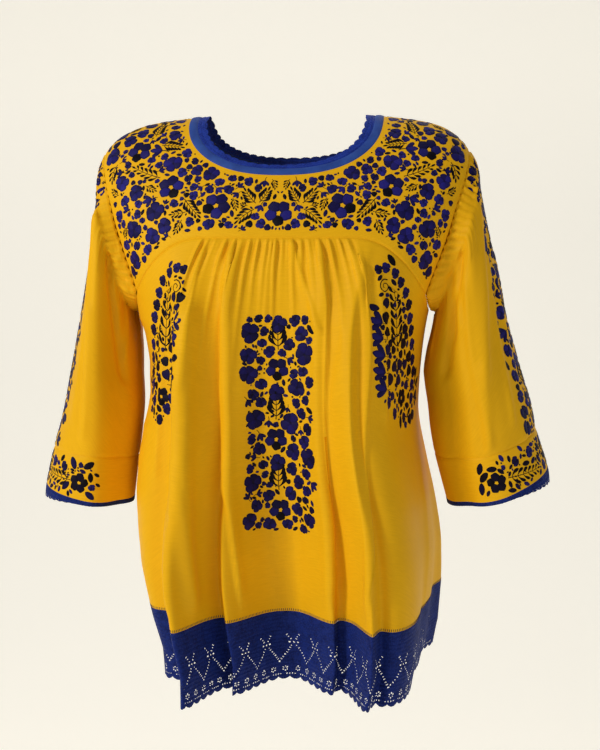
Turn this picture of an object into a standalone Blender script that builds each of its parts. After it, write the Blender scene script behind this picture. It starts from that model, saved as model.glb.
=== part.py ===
"""An embroidered blouse: square yoke, gathered body, flared sleeves and crochet edging, hanging as it is worn.

Metres, +Z up, the front faces -Y and the wearer's left is +X. The origin is where the shoulders carry the yoke.
Each cloth piece is a wall round its middle surface, and the middle surfaces come from one general figure."""

import math

import bpy
import numpy as np

# Cloth and seams
CLOTH = 0.0013
TRIM_CLOTH = 0.0016
SEAM_GAP = 0.0004
RIDGE_GAP = 0.0009

# The figure: rings from the ridge of the shoulders down to the hem
FIGURE_COLUMNS = ("middle_height", "side_drop", "half_width", "front_depth", "back_depth", "squareness")
FIGURE = np.array([
    (-0.001, 0.049, 0.203, 0.000, 0.000, 4.4),
    (-0.009, 0.047, 0.206, 0.024, 0.024, 4.4),
    (-0.025, 0.042, 0.207, 0.042, 0.042, 4.1),
    (-0.047, 0.035, 0.206, 0.058, 0.057, 3.7),
    (-0.076, 0.027, 0.202, 0.076, 0.071, 3.3),
    (-0.108, 0.018, 0.194, 0.093, 0.084, 3.0),
    (-0.148, 0.009, 0.181, 0.107, 0.095, 2.7),
    (-0.190, 0.003, 0.166, 0.117, 0.101, 2.5),
    (-0.235, 0.000, 0.157, 0.122, 0.104, 2.4),
    (-0.285, 0.000, 0.152, 0.123, 0.106, 2.4),
    (-0.335, 0.000, 0.149, 0.122, 0.110, 2.4),
    (-0.385, 0.000, 0.155, 0.121, 0.115, 2.4),
    (-0.435, 0.000, 0.162, 0.120, 0.119, 2.5),
    (-0.485, 0.000, 0.165, 0.119, 0.121, 2.5),
    (-0.535, 0.000, 0.159, 0.118, 0.118, 2.5),
    (-0.585, 0.000, 0.148, 0.118, 0.112, 2.5),
    (-0.635, 0.000, 0.140, 0.118, 0.106, 2.5),
])
SIDE_SLOPE_SHARE = 0.36
SIDE_SLOPE_POWER = 2.0
SIDE_DROP_POWER = 11.0

# The blouse hangs a little to the wearer's right of its neck: a sideways shift by height
SWAY_COLUMNS = ("height", "shift")
SWAY = np.array([
    (0.000, -0.0025),
    (-0.140, -0.0030),
    (-0.220, -0.0055),
    (-0.290, -0.0065),
    (-0.450, -0.0030),
    (-0.500, -0.0015),
    (-0.545, 0.0020),
    (-0.580, 0.0060),
    (-0.620, 0.0035),
])
SWAY_REACH = 0.20

# Neck opening and its trim: the width across and how far down the front and the back it reaches, in figure rings
NECK_COLUMNS = ("half_width", "front_ring", "back_ring")
NECK_SEAM = (0.1055, 4.05, 3.45)
NECK_BAND_OUTER = (0.1050, 4.03, 3.43)
NECK_BAND_INNER = (0.0945, 3.80, 3.18)
NECK_BAND_START = (0.0940, 3.79, 3.17)
NECK_EDGE = (0.0850, 3.55, 2.90)
NECK_SIDE_POWER = 0.87
NECK_DROP_POWER = 0.50
NECK_SCALLOP = 0.0012

# Yoke seams, front and back
YOKE_SEAM_HEIGHT = -0.141
YOKE_STRAIGHT_HALF = 0.078
YOKE_TIP_X = 0.156
YOKE_TIP_HEIGHT = -0.197
YOKE_CURVE_POWER = 2.2
ARMHOLE_COLUMNS = ("height", "x")
ARMHOLE = np.array([
    (-0.0431, 0.1990),
    (-0.0600, 0.1980),
    (-0.0800, 0.1930),
    (-0.1050, 0.1850),
    (-0.1320, 0.1775),
    (-0.1600, 0.1685),
    (-0.1850, 0.1600),
    (YOKE_TIP_HEIGHT, YOKE_TIP_X),
])
UNDERARM_HEIGHT = -0.214

# Body length and crochet hem
HEM_SEAM_HEIGHT = -0.534
HEM_HEIGHT = -0.610
HEM_SCALLOP = 0.0016

# Gathers along the yoke seam
GATHER_DEPTH = 0.0017
GATHER_LENGTHS = (0.020, 0.085)
GATHER_START = 0.004

# Long folds of the body: angle 0 is the middle of the front, +90 the wearer's left side, 180 the middle of the back.
# The height is at the hem, and grows from the yoke down. The heading is the way the crest points, 0 to the front.
FOLD_COLUMNS = ("angle_at_yoke", "angle_at_hem", "height", "width_below", "width_above", "heading")
FOLDS = np.array([
    (-54.0, -50.0, 0.012, 12.0, 9.0, -50.0),
    (-30.0, -31.5, 0.068, 5.4, 8.0, -7.0),
    (-11.5, -13.0, 0.026, 2.2, 11.0, -10.0),
    (1.0, 0.5, -0.038, 10.0, 9.0, 0.0),
    (12.0, 14.5, 0.015, 7.0, 2.2, 15.0),
    (24.0, 31.0, 0.034, 7.0, 2.0, 0.0),
    (32.0, 38.0, 0.050, 9.0, 12.0, 6.0),
    (42.0, 48.0, 0.014, 10.0, 13.0, 70.0),
    (116.0, 112.0, 0.022, 12.0, 12.0, 100.0),
    (137.0, 135.0, 0.030, 8.0, 10.0, 160.0),
    (157.0, 158.0, 0.024, 7.0, 8.0, 172.0),
    (180.0, 181.0, 0.034, 9.0, 8.0, 180.0),
    (203.0, 204.0, 0.026, 8.0, 7.0, 188.0),
    (225.0, 228.0, 0.034, 9.0, 9.0, 200.0),
    (248.0, 250.0, 0.014, 10.0, 10.0, 240.0),
])
FOLD_GROWTH = 0.85

# How much further out the body hangs at its wearer's right side
RIGHT_SIDE_COLUMNS = ("height", "out")
RIGHT_SIDE = np.array([
    (-0.225, 0.0000),
    (-0.240, -0.0040),
    (-0.273, -0.0075),
    (-0.307, -0.0035),
    (-0.341, 0.0066),
    (-0.375, 0.0092),
    (-0.409, 0.0080),
    (-0.443, 0.0035),
    (-0.478, 0.0000),
])
RIGHT_SIDE_ANGLE = -70.0
RIGHT_SIDE_SPREAD = 20.0

# Sleeves: rings from the armhole to the end of the crochet, as the outermost and innermost points of each.
# The last columns are how the left sleeve differs from the mean of the two, the right one by as much the other way.
# The front drop is how much lower the front of a ring is than its middle.
SLEEVE_COLUMNS = ("outer_x", "outer_height", "inner_x", "inner_height", "half_depth", "middle_y", "front_drop",
                  "out", "in", "outer_up", "inner_up", "drop_more")
SLEEVE = np.array([
    (0.21075, -0.090, 0.1675, -0.2230, 0.058, 0.000, 0.000, 0.00225, 0.0000, 0.000, 0.000, 0.000),
    (0.21815, -0.133, 0.1645, -0.2390, 0.062, 0.000, 0.000, 0.00415, 0.0000, 0.000, 0.000, 0.000),
    (0.22750, -0.180, 0.1605, -0.2620, 0.064, -0.001, 0.000, 0.00700, -0.0010, 0.000, 0.000, 0.000),
    (0.23650, -0.228, 0.1585, -0.2900, 0.064, -0.004, 0.000, 0.00900, -0.0015, 0.001, 0.001, 0.001),
    (0.24740, -0.275, 0.1595, -0.3200, 0.063, -0.008, 0.001, 0.01160, 0.0010, 0.003, 0.001, 0.002),
    (0.25830, -0.319, 0.1620, -0.3490, 0.061, -0.012, 0.002, 0.01270, 0.0010, 0.008, 0.003, 0.004),
    (0.26750, -0.355, 0.1660, -0.3755, 0.059, -0.014, 0.0035, 0.00940, 0.0010, 0.013, 0.0045, 0.0055),
    (0.27860, -0.395, 0.1750, -0.4230, 0.058, -0.016, 0.0060, 0.01060, 0.0040, 0.012, 0.0035, 0.0030),
    (0.28075, -0.413, 0.1765, -0.4300, 0.057, -0.017, -0.0020, 0.01075, 0.0040, 0.012, 0.0030, 0.0020),
])
SLEEVE_SEAM_RING = 6
CUFF_RING = 7
CUFF_LACE_RING = 8
CUFF_SCALLOP = 0.0009

# Folds of the sleeves: angle 0 is the outermost line, 90 the front, 180 the innermost line
SLEEVE_FOLD_COLUMNS = ("angle_at_top", "angle_at_seam", "height_at_top", "height_at_seam", "half_width")
SLEEVE_FOLDS = {
    "left": np.array([
        (62.0, 100.0, 0.0090, 0.0030, 17.0),
        (104.0, 140.0, -0.0060, -0.0040, 18.0),
        (-70.0, -95.0, 0.0060, 0.0040, 20.0),
        (-118.0, -140.0, -0.0040, -0.0040, 18.0),
    ]),
    "right": np.array([
        (70.0, 88.0, 0.0060, 0.0040, 20.0),
        (108.0, 128.0, -0.0070, -0.0050, 17.0),
        (-66.0, -90.0, 0.0060, 0.0040, 20.0),
        (-112.0, -138.0, -0.0040, -0.0040, 18.0),
    ]),
}
SLEEVE_GATHER = 0.0011

# Mesh counts
STRAIGHT_STEPS = 12
CURVE_STEPS = 7
ARMHOLE_STEPS = 14
YOKE_ROWS = 5
FRONT_GATHERS = 18
BACK_GATHERS = 11
GATHER_STEPS = 4
SIDE_STEPS = 7
SIDE_SHARE = 0.11
CURVE_SHARE = 0.13
BODY_ROWS = (0.0, 0.012, 0.035, 0.08, 0.16, 0.27, 0.39, 0.53, 0.68, 0.84, 1.0)
HEM_ROWS = (0.0, 0.5, 1.0)
DENSE = 721

# Colours
YELLOW = (0.86, 0.56, 0.02, 1.0)
BLUE = (0.02, 0.05, 0.28, 1.0)


def read_rows(table, position):
    """Rows of a table at fractional positions, along a smooth curve through the rows."""
    position = np.clip(np.asarray(position, float), 0, len(table) - 1)
    first = np.minimum(position.astype(int), len(table) - 2)
    share = (position - first)[..., None]
    ends = np.vstack([2 * table[0] - table[1], table, 2 * table[-1] - table[-2]])
    a, b, c, d = (ends[first + k] for k in range(4))
    return b + 0.5 * share * (c - a + share * (2 * a - 5 * b + 4 * c - d + share * (3 * (b - c) + d - a)))


def figure_ring(ring):
    """The columns of FIGURE at a ring number. Below zero it mirrors, so that the ridge of the shoulders is round."""
    ring = np.abs(np.asarray(ring, float))
    mirrored = FIGURE[1] * np.array([1, 1, 1, -1, -1, 1])
    return read_rows(np.vstack([mirrored, FIGURE]), ring + 1)


def figure_point(x, ring, back):
    """The point of the figure that is x from the middle, on a ring, on its front or its back."""
    x, ring = np.broadcast_arrays(np.asarray(x, float), np.asarray(ring, float))
    middle, drop, half, front, rear, square = np.moveaxis(figure_ring(ring), -1, 0)
    across = np.clip(np.abs(x) / half, 0, 1)
    depth = np.where(back, rear, -front) * (1 - across**square) ** (1 / square)
    fall = SIDE_SLOPE_SHARE * across**SIDE_SLOPE_POWER + (1 - SIDE_SLOPE_SHARE) * across**SIDE_DROP_POWER
    return np.stack([x, depth, middle - drop * fall], -1)


def ring_at(x, height):
    """The ring whose surface passes through a height at a distance x from the middle."""
    x, height = np.broadcast_arrays(np.asarray(x, float), np.asarray(height, float))
    low, high = np.zeros(x.shape), np.full(x.shape, len(FIGURE) - 1.0)
    for _ in range(40):
        ring = (low + high) / 2
        above = figure_point(x, ring, False)[..., 2] > height
        low, high = np.where(above, ring, low), np.where(above, high, ring)
    return (low + high) / 2


def yoke_seam_height(x):
    """Height of the seam under the yoke: straight in the middle and curved down to a tip at each armhole."""
    beyond = np.clip((np.abs(x) - YOKE_STRAIGHT_HALF) / (YOKE_TIP_X - YOKE_STRAIGHT_HALF), 0, 1)
    return YOKE_SEAM_HEIGHT + (YOKE_TIP_HEIGHT - YOKE_SEAM_HEIGHT) * beyond**YOKE_CURVE_POWER


def neck_curve(size, angle):
    """A neckline in (x, ring) terms; the ring is negative on the back. Angle 0 is the middle of the front."""
    half_width, front_ring, back_ring = size
    sine, cosine = np.sin(angle), np.cos(angle)
    x = half_width * np.sign(sine) * np.abs(sine) ** NECK_SIDE_POWER
    ring = np.where(cosine > 0, front_ring, -back_ring) * np.abs(cosine) ** NECK_DROP_POWER
    return np.stack([x, ring], -1)


def sway(points):
    """Moves points sideways, less near the neck, by how the blouse hangs."""
    x, height = points[..., 0], points[..., 2]
    shift = np.interp(-height, -SWAY[:, 0], SWAY[:, 1])
    reach = np.clip(np.hypot(x, 1.2 * height) / SWAY_REACH, 0, 1) ** 2
    moved = points.copy()
    moved[..., 0] += shift * reach
    return moved


def seam_curve_x():
    """Where the curved stretch of a yoke seam has its points, from the straight stretch out to the tip."""
    return YOKE_STRAIGHT_HALF + (YOKE_TIP_X - YOKE_STRAIGHT_HALF) * np.linspace(0, 1, CURVE_STEPS + 1) ** 0.8


def chart_point(chart):
    """Points of the figure from (x, ring) pairs, where a negative ring is on the back."""
    return figure_point(chart[..., 0], np.abs(chart[..., 1]), chart[..., 1] < 0)


def yoke_edge(back):
    """The outer edge of half the yoke, in (x, ring) terms: up one armhole, along the seam and down the other."""
    steps = np.linspace(0, 1, ARMHOLE_STEPS + 1)
    height = ARMHOLE[0, 0] + (ARMHOLE[-1, 0] - ARMHOLE[0, 0]) * steps**1.15
    arm_x = np.interp(-height, -ARMHOLE[:, 0], ARMHOLE[:, 1])
    straight = np.linspace(-YOKE_STRAIGHT_HALF, YOKE_STRAIGHT_HALF, STRAIGHT_STEPS + 1)
    seam_x = np.concatenate([-seam_curve_x()[:0:-1], straight, seam_curve_x()[1:]])
    x = np.concatenate([-arm_x, seam_x[1:-1], arm_x[::-1]])
    edge_height = np.concatenate([height, yoke_seam_height(seam_x[1:-1]), height[::-1]])
    ring = ring_at(x, edge_height)
    ring[[0, -1]] = 0
    return np.stack([x, -ring if back else ring], -1)


def normals_of(grid, ring):
    """Unit normals at the points of a grid; a ring closes on itself along each row."""
    if ring:
        across = np.roll(grid, -1, 1) - np.roll(grid, 1, 1)
    else:
        across = np.gradient(grid, axis=1)
    down = np.gradient(grid, axis=0)
    normal = np.cross(across, down)
    return normal / np.maximum(np.linalg.norm(normal, axis=-1, keepdims=True), 1e-12)


def material(name, colour, roughness):
    """A cloth material, the same in every piece that shares its name."""
    made = bpy.data.materials.get(name)
    if made is None:
        made = bpy.data.materials.new(name)
        made.use_nodes = True
        shader = made.node_tree.nodes["Principled BSDF"]
        shader.inputs["Base Color"].default_value = colour
        shader.inputs["Roughness"].default_value = roughness
    return made


def add_wall(name, grid, cloth, thickness, ring=False):
    """A closed wall of cloth round the middle surface that a grid of points gives, rows by columns."""
    grid = sway(grid)
    rows, columns, _ = grid.shape
    spans = columns if ring else columns - 1
    faces = []
    for i in range(rows - 1):
        upper, lower = i * columns, (i + 1) * columns
        for j in range(spans):
            right = (j + 1) % columns
            faces.append((upper + j, upper + right, lower + right, lower + j))
    mesh = bpy.data.meshes.new(name)
    mesh.from_pydata(grid.reshape(-1, 3).tolist(), [], faces)
    mesh.shade_smooth()
    mesh.materials.append(cloth)
    piece = bpy.data.objects.new(name, mesh)
    bpy.context.scene.collection.objects.link(piece)
    wall = piece.modifiers.new("cloth wall", "SOLIDIFY")
    wall.thickness = thickness
    wall.offset = 0
    wall.use_even_offset = False
    return piece


def dense_level(angle, depth_share, below=0.0):
    """The folded body at a share of the way from the yoke seam to the hem seam, for angles in degrees.

    below is a height under the hem seam, for the crochet, where the folds keep growing."""
    back = np.cos(np.radians(angle)) < 0
    top = body_top_ring(angle)
    hem = ring_at(0.0, HEM_SEAM_HEIGHT - below)
    ring = top + (hem - top) * depth_share
    base = figure_point(side_x(angle, ring), ring, back)
    growth = depth_share**FOLD_GROWTH + below / (HEM_SEAM_HEIGHT - HEM_HEIGHT) * 0.12
    for at_yoke, at_hem, height, width_below, width_above, heading in FOLDS:
        centre = at_yoke + (at_hem - at_yoke) * depth_share
        offset = (angle - centre + 180) % 360 - 180
        widen = 1.25 - 0.25 * depth_share
        bump = height * growth * np.exp(-((offset / (widen * np.where(offset < 0, width_below, width_above))) ** 2))
        way = np.array([math.sin(math.radians(heading)), -math.cos(math.radians(heading)), 0.0])
        base = base + bump[..., None] * way
    return base + right_side_bulge(angle, base[..., 2])


def right_side_bulge(angle, height):
    """How far the wearer's right side of the body hangs outside the figure, as a sideways shift."""
    out = np.interp(-height, -RIGHT_SIDE[:, 0], RIGHT_SIDE[:, 1])
    apart = (angle - RIGHT_SIDE_ANGLE + 180) % 360 - 180
    shift = -out * np.exp(-((apart / RIGHT_SIDE_SPREAD) ** 2))
    return np.stack([shift, np.zeros(shift.shape), np.zeros(shift.shape)], -1)


def side_x(angle, ring):
    """How far from the middle the figure is at an angle, on a ring."""
    half, square = figure_ring(ring)[..., 2], figure_ring(ring)[..., 5]
    sine = np.sin(np.radians(angle))
    return half * np.sign(sine) * np.abs(sine) ** (2 / square)


def body_top_height(x, half):
    """Height of the body's top edge: the yoke seam, then under the arm from the yoke's tip to the side."""
    under = np.clip((np.abs(x) - YOKE_TIP_X) / (half - YOKE_TIP_X), 0, 1)
    return yoke_seam_height(x) + (UNDERARM_HEIGHT - YOKE_TIP_HEIGHT) * under * (2 - under)


def body_top_ring(angle):
    """The ring of the figure that the body's top edge is on, at each angle."""
    low, high = np.full(angle.shape, 3.0), np.full(angle.shape, 9.0)
    for _ in range(40):
        ring = (low + high) / 2
        x = side_x(angle, ring)
        above = figure_point(x, ring, False)[..., 2] > body_top_height(x, figure_ring(ring)[..., 2])
        low, high = np.where(above, ring, low), np.where(above, high, ring)
    return (low + high) / 2


def along(curve, share):
    """Points at shares of a curve's length."""
    length = np.concatenate([[0], np.cumsum(np.linalg.norm(np.diff(curve, axis=0), axis=1))])
    return np.stack([np.interp(share * length[-1], length, curve[:, k]) for k in range(3)], -1)


def share_of(curve, x):
    """The shares of a curve's length at which it reaches each x, on a curve where x only grows."""
    length = np.concatenate([[0], np.cumsum(np.linalg.norm(np.diff(curve, axis=0), axis=1))])
    return np.interp(x, curve[:, 0], length / length[-1])


def gather_marks(gathers, seed):
    """For each column of the gathered stretch: its place from 0 to 1, its gather's depth and its gather's length."""
    random = np.random.default_rng(seed)
    widths = random.uniform(0.7, 1.3, gathers)
    marks = np.concatenate([[0], np.cumsum(widths)]) / np.sum(widths)
    column = np.arange(gathers * GATHER_STEPS + 1)
    place = np.interp(column / GATHER_STEPS, np.arange(gathers + 1), marks)
    depths = random.uniform(0.6, 1.15, gathers + 1)[column // GATHER_STEPS]
    lengths = random.uniform(*GATHER_LENGTHS, gathers + 1)[column // GATHER_STEPS]
    return place, GATHER_DEPTH * depths * np.sin(column * 2 * math.pi / GATHER_STEPS), lengths


def panel_columns(top, place):
    """Shares of each column along a panel's top edge and along its lower edge."""
    curve = share_of(top, seam_curve_x())
    curve_left = share_of(top, -seam_curve_x()[::-1])
    straight = share_of(top, YOKE_STRAIGHT_HALF * (2 * place - 1))
    side = np.linspace(0, 1, SIDE_STEPS + 1)
    at_top = np.concatenate([
        side * curve_left[0],
        curve_left[1:],
        straight[1:-1],
        curve,
        (curve[-1] + (1 - curve[-1]) * side)[1:],
    ])
    bend = np.linspace(0, 1, CURVE_STEPS + 1)
    at_hem = np.concatenate([
        side * SIDE_SHARE,
        (SIDE_SHARE + CURVE_SHARE * bend)[1:],
        (SIDE_SHARE + CURVE_SHARE + (1 - 2 * SIDE_SHARE - 2 * CURVE_SHARE) * place)[1:-1],
        1 - (SIDE_SHARE + CURVE_SHARE * bend)[::-1],
        (1 - side * SIDE_SHARE)[-2::-1],
    ])
    return at_top, at_hem


def sew_to_yoke(grid, seam):
    """Puts the first row of a panel along the yoke's seam, a gap away from it."""
    sewn = (grid[0, :, 0] > seam[0, 0]) & (grid[0, :, 0] < seam[-1, 0])
    for k in (1, 2):
        grid[0, sewn, k] = np.interp(grid[0, sewn, 0], seam[:, 0], seam[:, k])
    away = np.cross(normals_of(grid, False)[0], np.gradient(grid[0], axis=0))
    away *= np.where(away[:, 2:] > 0, -1.0, 1.0)
    grid[0] += away / np.linalg.norm(away, axis=-1, keepdims=True) * SEAM_GAP


def body_panel(back, gathers, seed, seam):
    """The grid of a body panel under its half of the yoke, and the shares of its columns at the hem."""
    angle = np.linspace(-90, 90, DENSE)
    if back:
        angle = 180 - angle
    place, wave, lengths = gather_marks(gathers, seed)
    at_top, at_hem = panel_columns(dense_level(angle, 0.0), place)
    plain = SIDE_STEPS + CURVE_STEPS
    wave = np.concatenate([np.zeros(plain), wave, np.zeros(plain)])
    lengths = np.concatenate([np.ones(plain), lengths, np.ones(plain)])
    rows = []
    for depth_share in BODY_ROWS:
        spread = (1 - math.exp(-3.2 * depth_share)) / (1 - math.exp(-3.2))
        rows.append(along(dense_level(angle, depth_share), at_top + (at_hem - at_top) * spread))
    grid = np.array(rows)
    sew_to_yoke(grid, seam)
    below = (YOKE_SEAM_HEIGHT - HEM_SEAM_HEIGHT) * np.array(BODY_ROWS)[:, None]
    outward = 1 if back else -1
    grid[..., 1] += outward * wave * (1 - np.exp(-below / GATHER_START)) * np.exp(-((below / lengths) ** 2))
    grid[:, [0, -1], 1] = outward * SEAM_GAP / 2
    return grid, at_hem


def hem_lace(back, at_hem, seam_row):
    """The grid of half the crochet hem: it follows the panel's last row, and its lower edge is scalloped."""
    angle = np.linspace(-90, 90, DENSE)
    if back:
        angle = 180 - angle
    rows = [seam_row - np.array([0, 0, SEAM_GAP])]
    for step in HEM_ROWS[1:]:
        below = (HEM_SEAM_HEIGHT - HEM_HEIGHT) * step
        rows.append(along(dense_level(angle, 1.0, below), at_hem))
    grid = np.array(rows)
    grid[-1, :, 2] += HEM_SCALLOP * np.where(np.arange(grid.shape[1]) % 2, 1.0, -1.0)
    grid[:, [0, -1], 1] = (1 if back else -1) * SEAM_GAP / 2
    return grid


def half_yoke(back):
    """The grid of half the yoke, from the neck seam out to the armholes and the body seam."""
    edge = yoke_edge(back)
    count = len(edge)
    share = np.linspace(-1, 1, count)
    angle = math.pi / 2 * np.sign(share) * np.abs(share) ** 0.8
    angle = math.pi - angle if back else angle
    neck = neck_curve(NECK_SEAM, angle)
    neck[[0, -1], 1] = 0
    steps = np.linspace(0, 1, YOKE_ROWS + 1)[:, None, None]
    chart = neck + (edge - neck) * steps
    grid = chart_point(chart)
    grid[:, [0, -1], 1] = RIDGE_GAP / 2 * (1 if back else -1)
    return grid


def neck_trim(inner, outer, scallop, count):
    """The grid of one ring of neck trim, between two necklines."""
    angle = np.linspace(0, 2 * math.pi, count, endpoint=False)
    grid = chart_point(np.array([neck_curve(outer, angle), neck_curve(inner, angle)]))
    if scallop:
        inward = grid[1] - grid[0]
        inward /= np.linalg.norm(inward, axis=-1, keepdims=True)
        grid[1] += inward * (scallop * np.where(np.arange(count) % 2, 1.0, -1.0))[:, None]
    return grid


def armhole_ring(side, yokes, panels):
    """The armhole as a ring: from the shoulder down the front edge of the yoke, under the arm, and up the back."""
    front, back = (yoke[-1] for yoke in yokes)
    front_panel, back_panel = (panel[0] for panel in panels)
    pick = slice(None, ARMHOLE_STEPS + 1) if side < 0 else slice(-1, -ARMHOLE_STEPS - 2, -1)
    under = slice(SIDE_STEPS - 1, None, -1) if side < 0 else slice(-SIDE_STEPS, None)
    down_front, down_back = front[pick], back[pick]
    below_front, below_back = front_panel[under], back_panel[under]
    return np.concatenate([down_front, below_front[:-1], below_back[:-1][::-1], down_back[:0:-1]])


def sleeve_grid(side, first, last, start_ring=None):
    """Rings of a sleeve between two rows of SLEEVE, after the armhole ring where one is given."""
    fold_rows = SLEEVE_FOLDS["left" if side < 0 else "right"]
    counts = (ARMHOLE_STEPS + SIDE_STEPS) * 2 - 1
    front_share = np.arange(counts) / counts
    psi = 2 * math.pi * front_share
    rings = []
    for row in np.arange(first, last + 1):
        outer_x, outer_z, inner_x, inner_z, depth, middle_y, drop, out, inward, outer_up, inner_up, more = SLEEVE[row]
        outer = np.array([side * outer_x + out, middle_y, outer_z + side * outer_up])
        inner = np.array([side * inner_x + inward, middle_y, inner_z + side * inner_up])
        half = (outer - inner) / 2
        forward = np.array([0.0, -depth, -(drop + side * more)])
        ring = (outer + inner) / 2 + np.cos(psi)[:, None] * half + np.sin(psi)[:, None] * forward
        down = row / SLEEVE_SEAM_RING
        for at_top, at_seam, top_height, seam_height, width in fold_rows:
            centre = at_top + (at_seam - at_top) * down
            offset = (np.degrees(psi) - centre + 180) % 360 - 180
            height = (top_height + (seam_height - top_height) * min(down, 1)) * np.exp(-((offset / width) ** 2))
            outward = np.cos(psi)[:, None] * half / np.linalg.norm(half) + np.sin(psi)[:, None] * forward / depth
            ring = ring + height[:, None] * outward
        rings.append(ring)
    grid = np.array(rings)
    if start_ring is not None:
        toward = grid[0] - start_ring
        toward /= np.linalg.norm(toward, axis=-1, keepdims=True)
        beyond_tip = np.abs(np.arange(counts) - counts // 2 - 0.5) - SIDE_STEPS
        under = np.clip(1 - beyond_tip / 3, 0, 1)[:, None]
        outward = np.array([side, 0.0, 0.0])
        seam = start_ring + toward * (SEAM_GAP + CLOTH * 0.5) * (1 - under) + outward * (SEAM_GAP + CLOTH) * under
        head = (start_ring * 0.62 + grid[0] * 0.38) + np.array([side * 0.004, 0, 0])
        swell = np.where(np.arange(counts) % 2, SLEEVE_GATHER, -SLEEVE_GATHER)
        gathered = (np.abs(front_share - 0.5) > 0.18)[:, None]
        head_normal = normals_of(np.array([seam, head, grid[0]]), True)[1]
        head = head + head_normal * swell[:, None] * gathered
        grid = np.concatenate([[seam, head], grid])
    return grid


def next_ring_below(grid, gap):
    """The last row of a grid, moved on by a gap, as the first row of the piece sewn to it."""
    onward = grid[-1] - grid[-2]
    return grid[-1] + onward / np.linalg.norm(onward, axis=-1, keepdims=True) * gap


def main():
    for old in list(bpy.data.objects):
        bpy.data.objects.remove(old)
    cotton = material("yellow cotton", YELLOW, 0.7)
    crochet = material("blue crochet", BLUE, 0.85)

    yokes = [half_yoke(back) for back in (False, True)]
    add_wall("yoke_front", yokes[0], cotton, CLOTH)
    add_wall("yoke_back", yokes[1], cotton, CLOTH)

    panels = []
    for back, name, gathers, seed in ((False, "front", FRONT_GATHERS, 3), (True, "back", BACK_GATHERS, 5)):
        seam = yokes[int(back)][-1][ARMHOLE_STEPS:-ARMHOLE_STEPS]
        grid, at_hem = body_panel(back, gathers, seed, seam)
        panels.append(grid)
        add_wall("body_" + name, grid, cotton, CLOTH)
        add_wall("hem_crochet_" + name, hem_lace(back, at_hem, grid[-1]), crochet, CLOTH)

    neck_count = 72
    add_wall("neck_band", neck_trim(NECK_BAND_INNER, NECK_BAND_OUTER, 0, neck_count), crochet, TRIM_CLOTH, True)
    add_wall("neck_crochet", neck_trim(NECK_EDGE, NECK_BAND_START, NECK_SCALLOP, neck_count), crochet, CLOTH, True)

    for side, name in ((-1, "right"), (1, "left")):
        start = armhole_ring(side, yokes, panels)
        upper = sleeve_grid(side, 0, SLEEVE_SEAM_RING, start)
        add_wall("sleeve_" + name, upper, cotton, CLOTH, True)
        band_end = sleeve_grid(side, CUFF_RING, CUFF_RING)
        band = np.concatenate([[next_ring_below(upper, SEAM_GAP)], band_end])
        add_wall("cuff_" + name, band, cotton, CLOTH, True)
        lace_end = sleeve_grid(side, CUFF_LACE_RING, CUFF_LACE_RING)
        lace_end[0, :, 2] += CUFF_SCALLOP * np.where(np.arange(lace_end.shape[1]) % 2, 1.0, -1.0)
        lace = np.concatenate([[next_ring_below(band, SEAM_GAP)], lace_end])
        add_wall("cuff_crochet_" + name, lace, crochet, CLOTH, True)


main()
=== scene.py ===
"""The looks of the embroidered blouse, on the form of its solids.

Metres, +Z up, the front faces -Y. Each cotton piece is a thin shell over one surface, sewn edge to edge, with
its gathers and creases. The embroidery and the stitches are raised thread, and the crochet is a wall with
real holes. Shapes of the needlework and the crochet are in millimetres."""

import math

import bmesh
import bpy
import numpy as np
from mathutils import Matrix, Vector


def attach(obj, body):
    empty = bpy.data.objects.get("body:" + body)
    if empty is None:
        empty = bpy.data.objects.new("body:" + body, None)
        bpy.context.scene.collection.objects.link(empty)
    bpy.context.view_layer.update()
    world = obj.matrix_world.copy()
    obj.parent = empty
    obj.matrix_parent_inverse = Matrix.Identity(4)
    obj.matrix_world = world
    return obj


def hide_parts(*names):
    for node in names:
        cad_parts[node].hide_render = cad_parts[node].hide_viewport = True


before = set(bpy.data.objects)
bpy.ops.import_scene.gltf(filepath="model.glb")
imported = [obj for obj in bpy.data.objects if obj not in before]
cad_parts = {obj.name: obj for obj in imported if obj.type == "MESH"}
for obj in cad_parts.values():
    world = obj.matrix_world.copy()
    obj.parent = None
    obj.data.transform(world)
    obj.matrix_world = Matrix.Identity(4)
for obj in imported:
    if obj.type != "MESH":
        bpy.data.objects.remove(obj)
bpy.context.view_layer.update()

MM = 0.001
HALVES = ("front", "back")
SIDES = {-1: "right", 1: "left"}

# The general figure, the same form as the solids. Each row is a ring: the height of its middle, the drop of
# its sides, its half width, its depth in front and behind, and how square it is
FIGURE = np.array([
    (-0.001, 0.049, 0.203, 0.000, 0.000, 4.4),
    (-0.009, 0.047, 0.206, 0.024, 0.024, 4.4),
    (-0.025, 0.042, 0.207, 0.042, 0.042, 4.1),
    (-0.047, 0.035, 0.206, 0.058, 0.057, 3.7),
    (-0.076, 0.027, 0.202, 0.076, 0.071, 3.3),
    (-0.108, 0.018, 0.194, 0.093, 0.084, 3.0),
    (-0.148, 0.009, 0.181, 0.107, 0.095, 2.7),
    (-0.190, 0.003, 0.166, 0.117, 0.101, 2.5),
    (-0.235, 0.000, 0.157, 0.122, 0.104, 2.4),
    (-0.285, 0.000, 0.152, 0.123, 0.106, 2.4),
    (-0.335, 0.000, 0.149, 0.122, 0.110, 2.4),
    (-0.385, 0.000, 0.155, 0.121, 0.115, 2.4),
    (-0.435, 0.000, 0.162, 0.120, 0.119, 2.5),
    (-0.485, 0.000, 0.165, 0.119, 0.121, 2.5),
    (-0.535, 0.000, 0.159, 0.118, 0.118, 2.5),
    (-0.585, 0.000, 0.148, 0.118, 0.112, 2.5),
    (-0.635, 0.000, 0.140, 0.118, 0.106, 2.5),
])
SIDE_SLOPE_SHARE = 0.36
SIDE_SLOPE_POWER = 2.0
SIDE_DROP_POWER = 11.0
HALVINGS = 40

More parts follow.
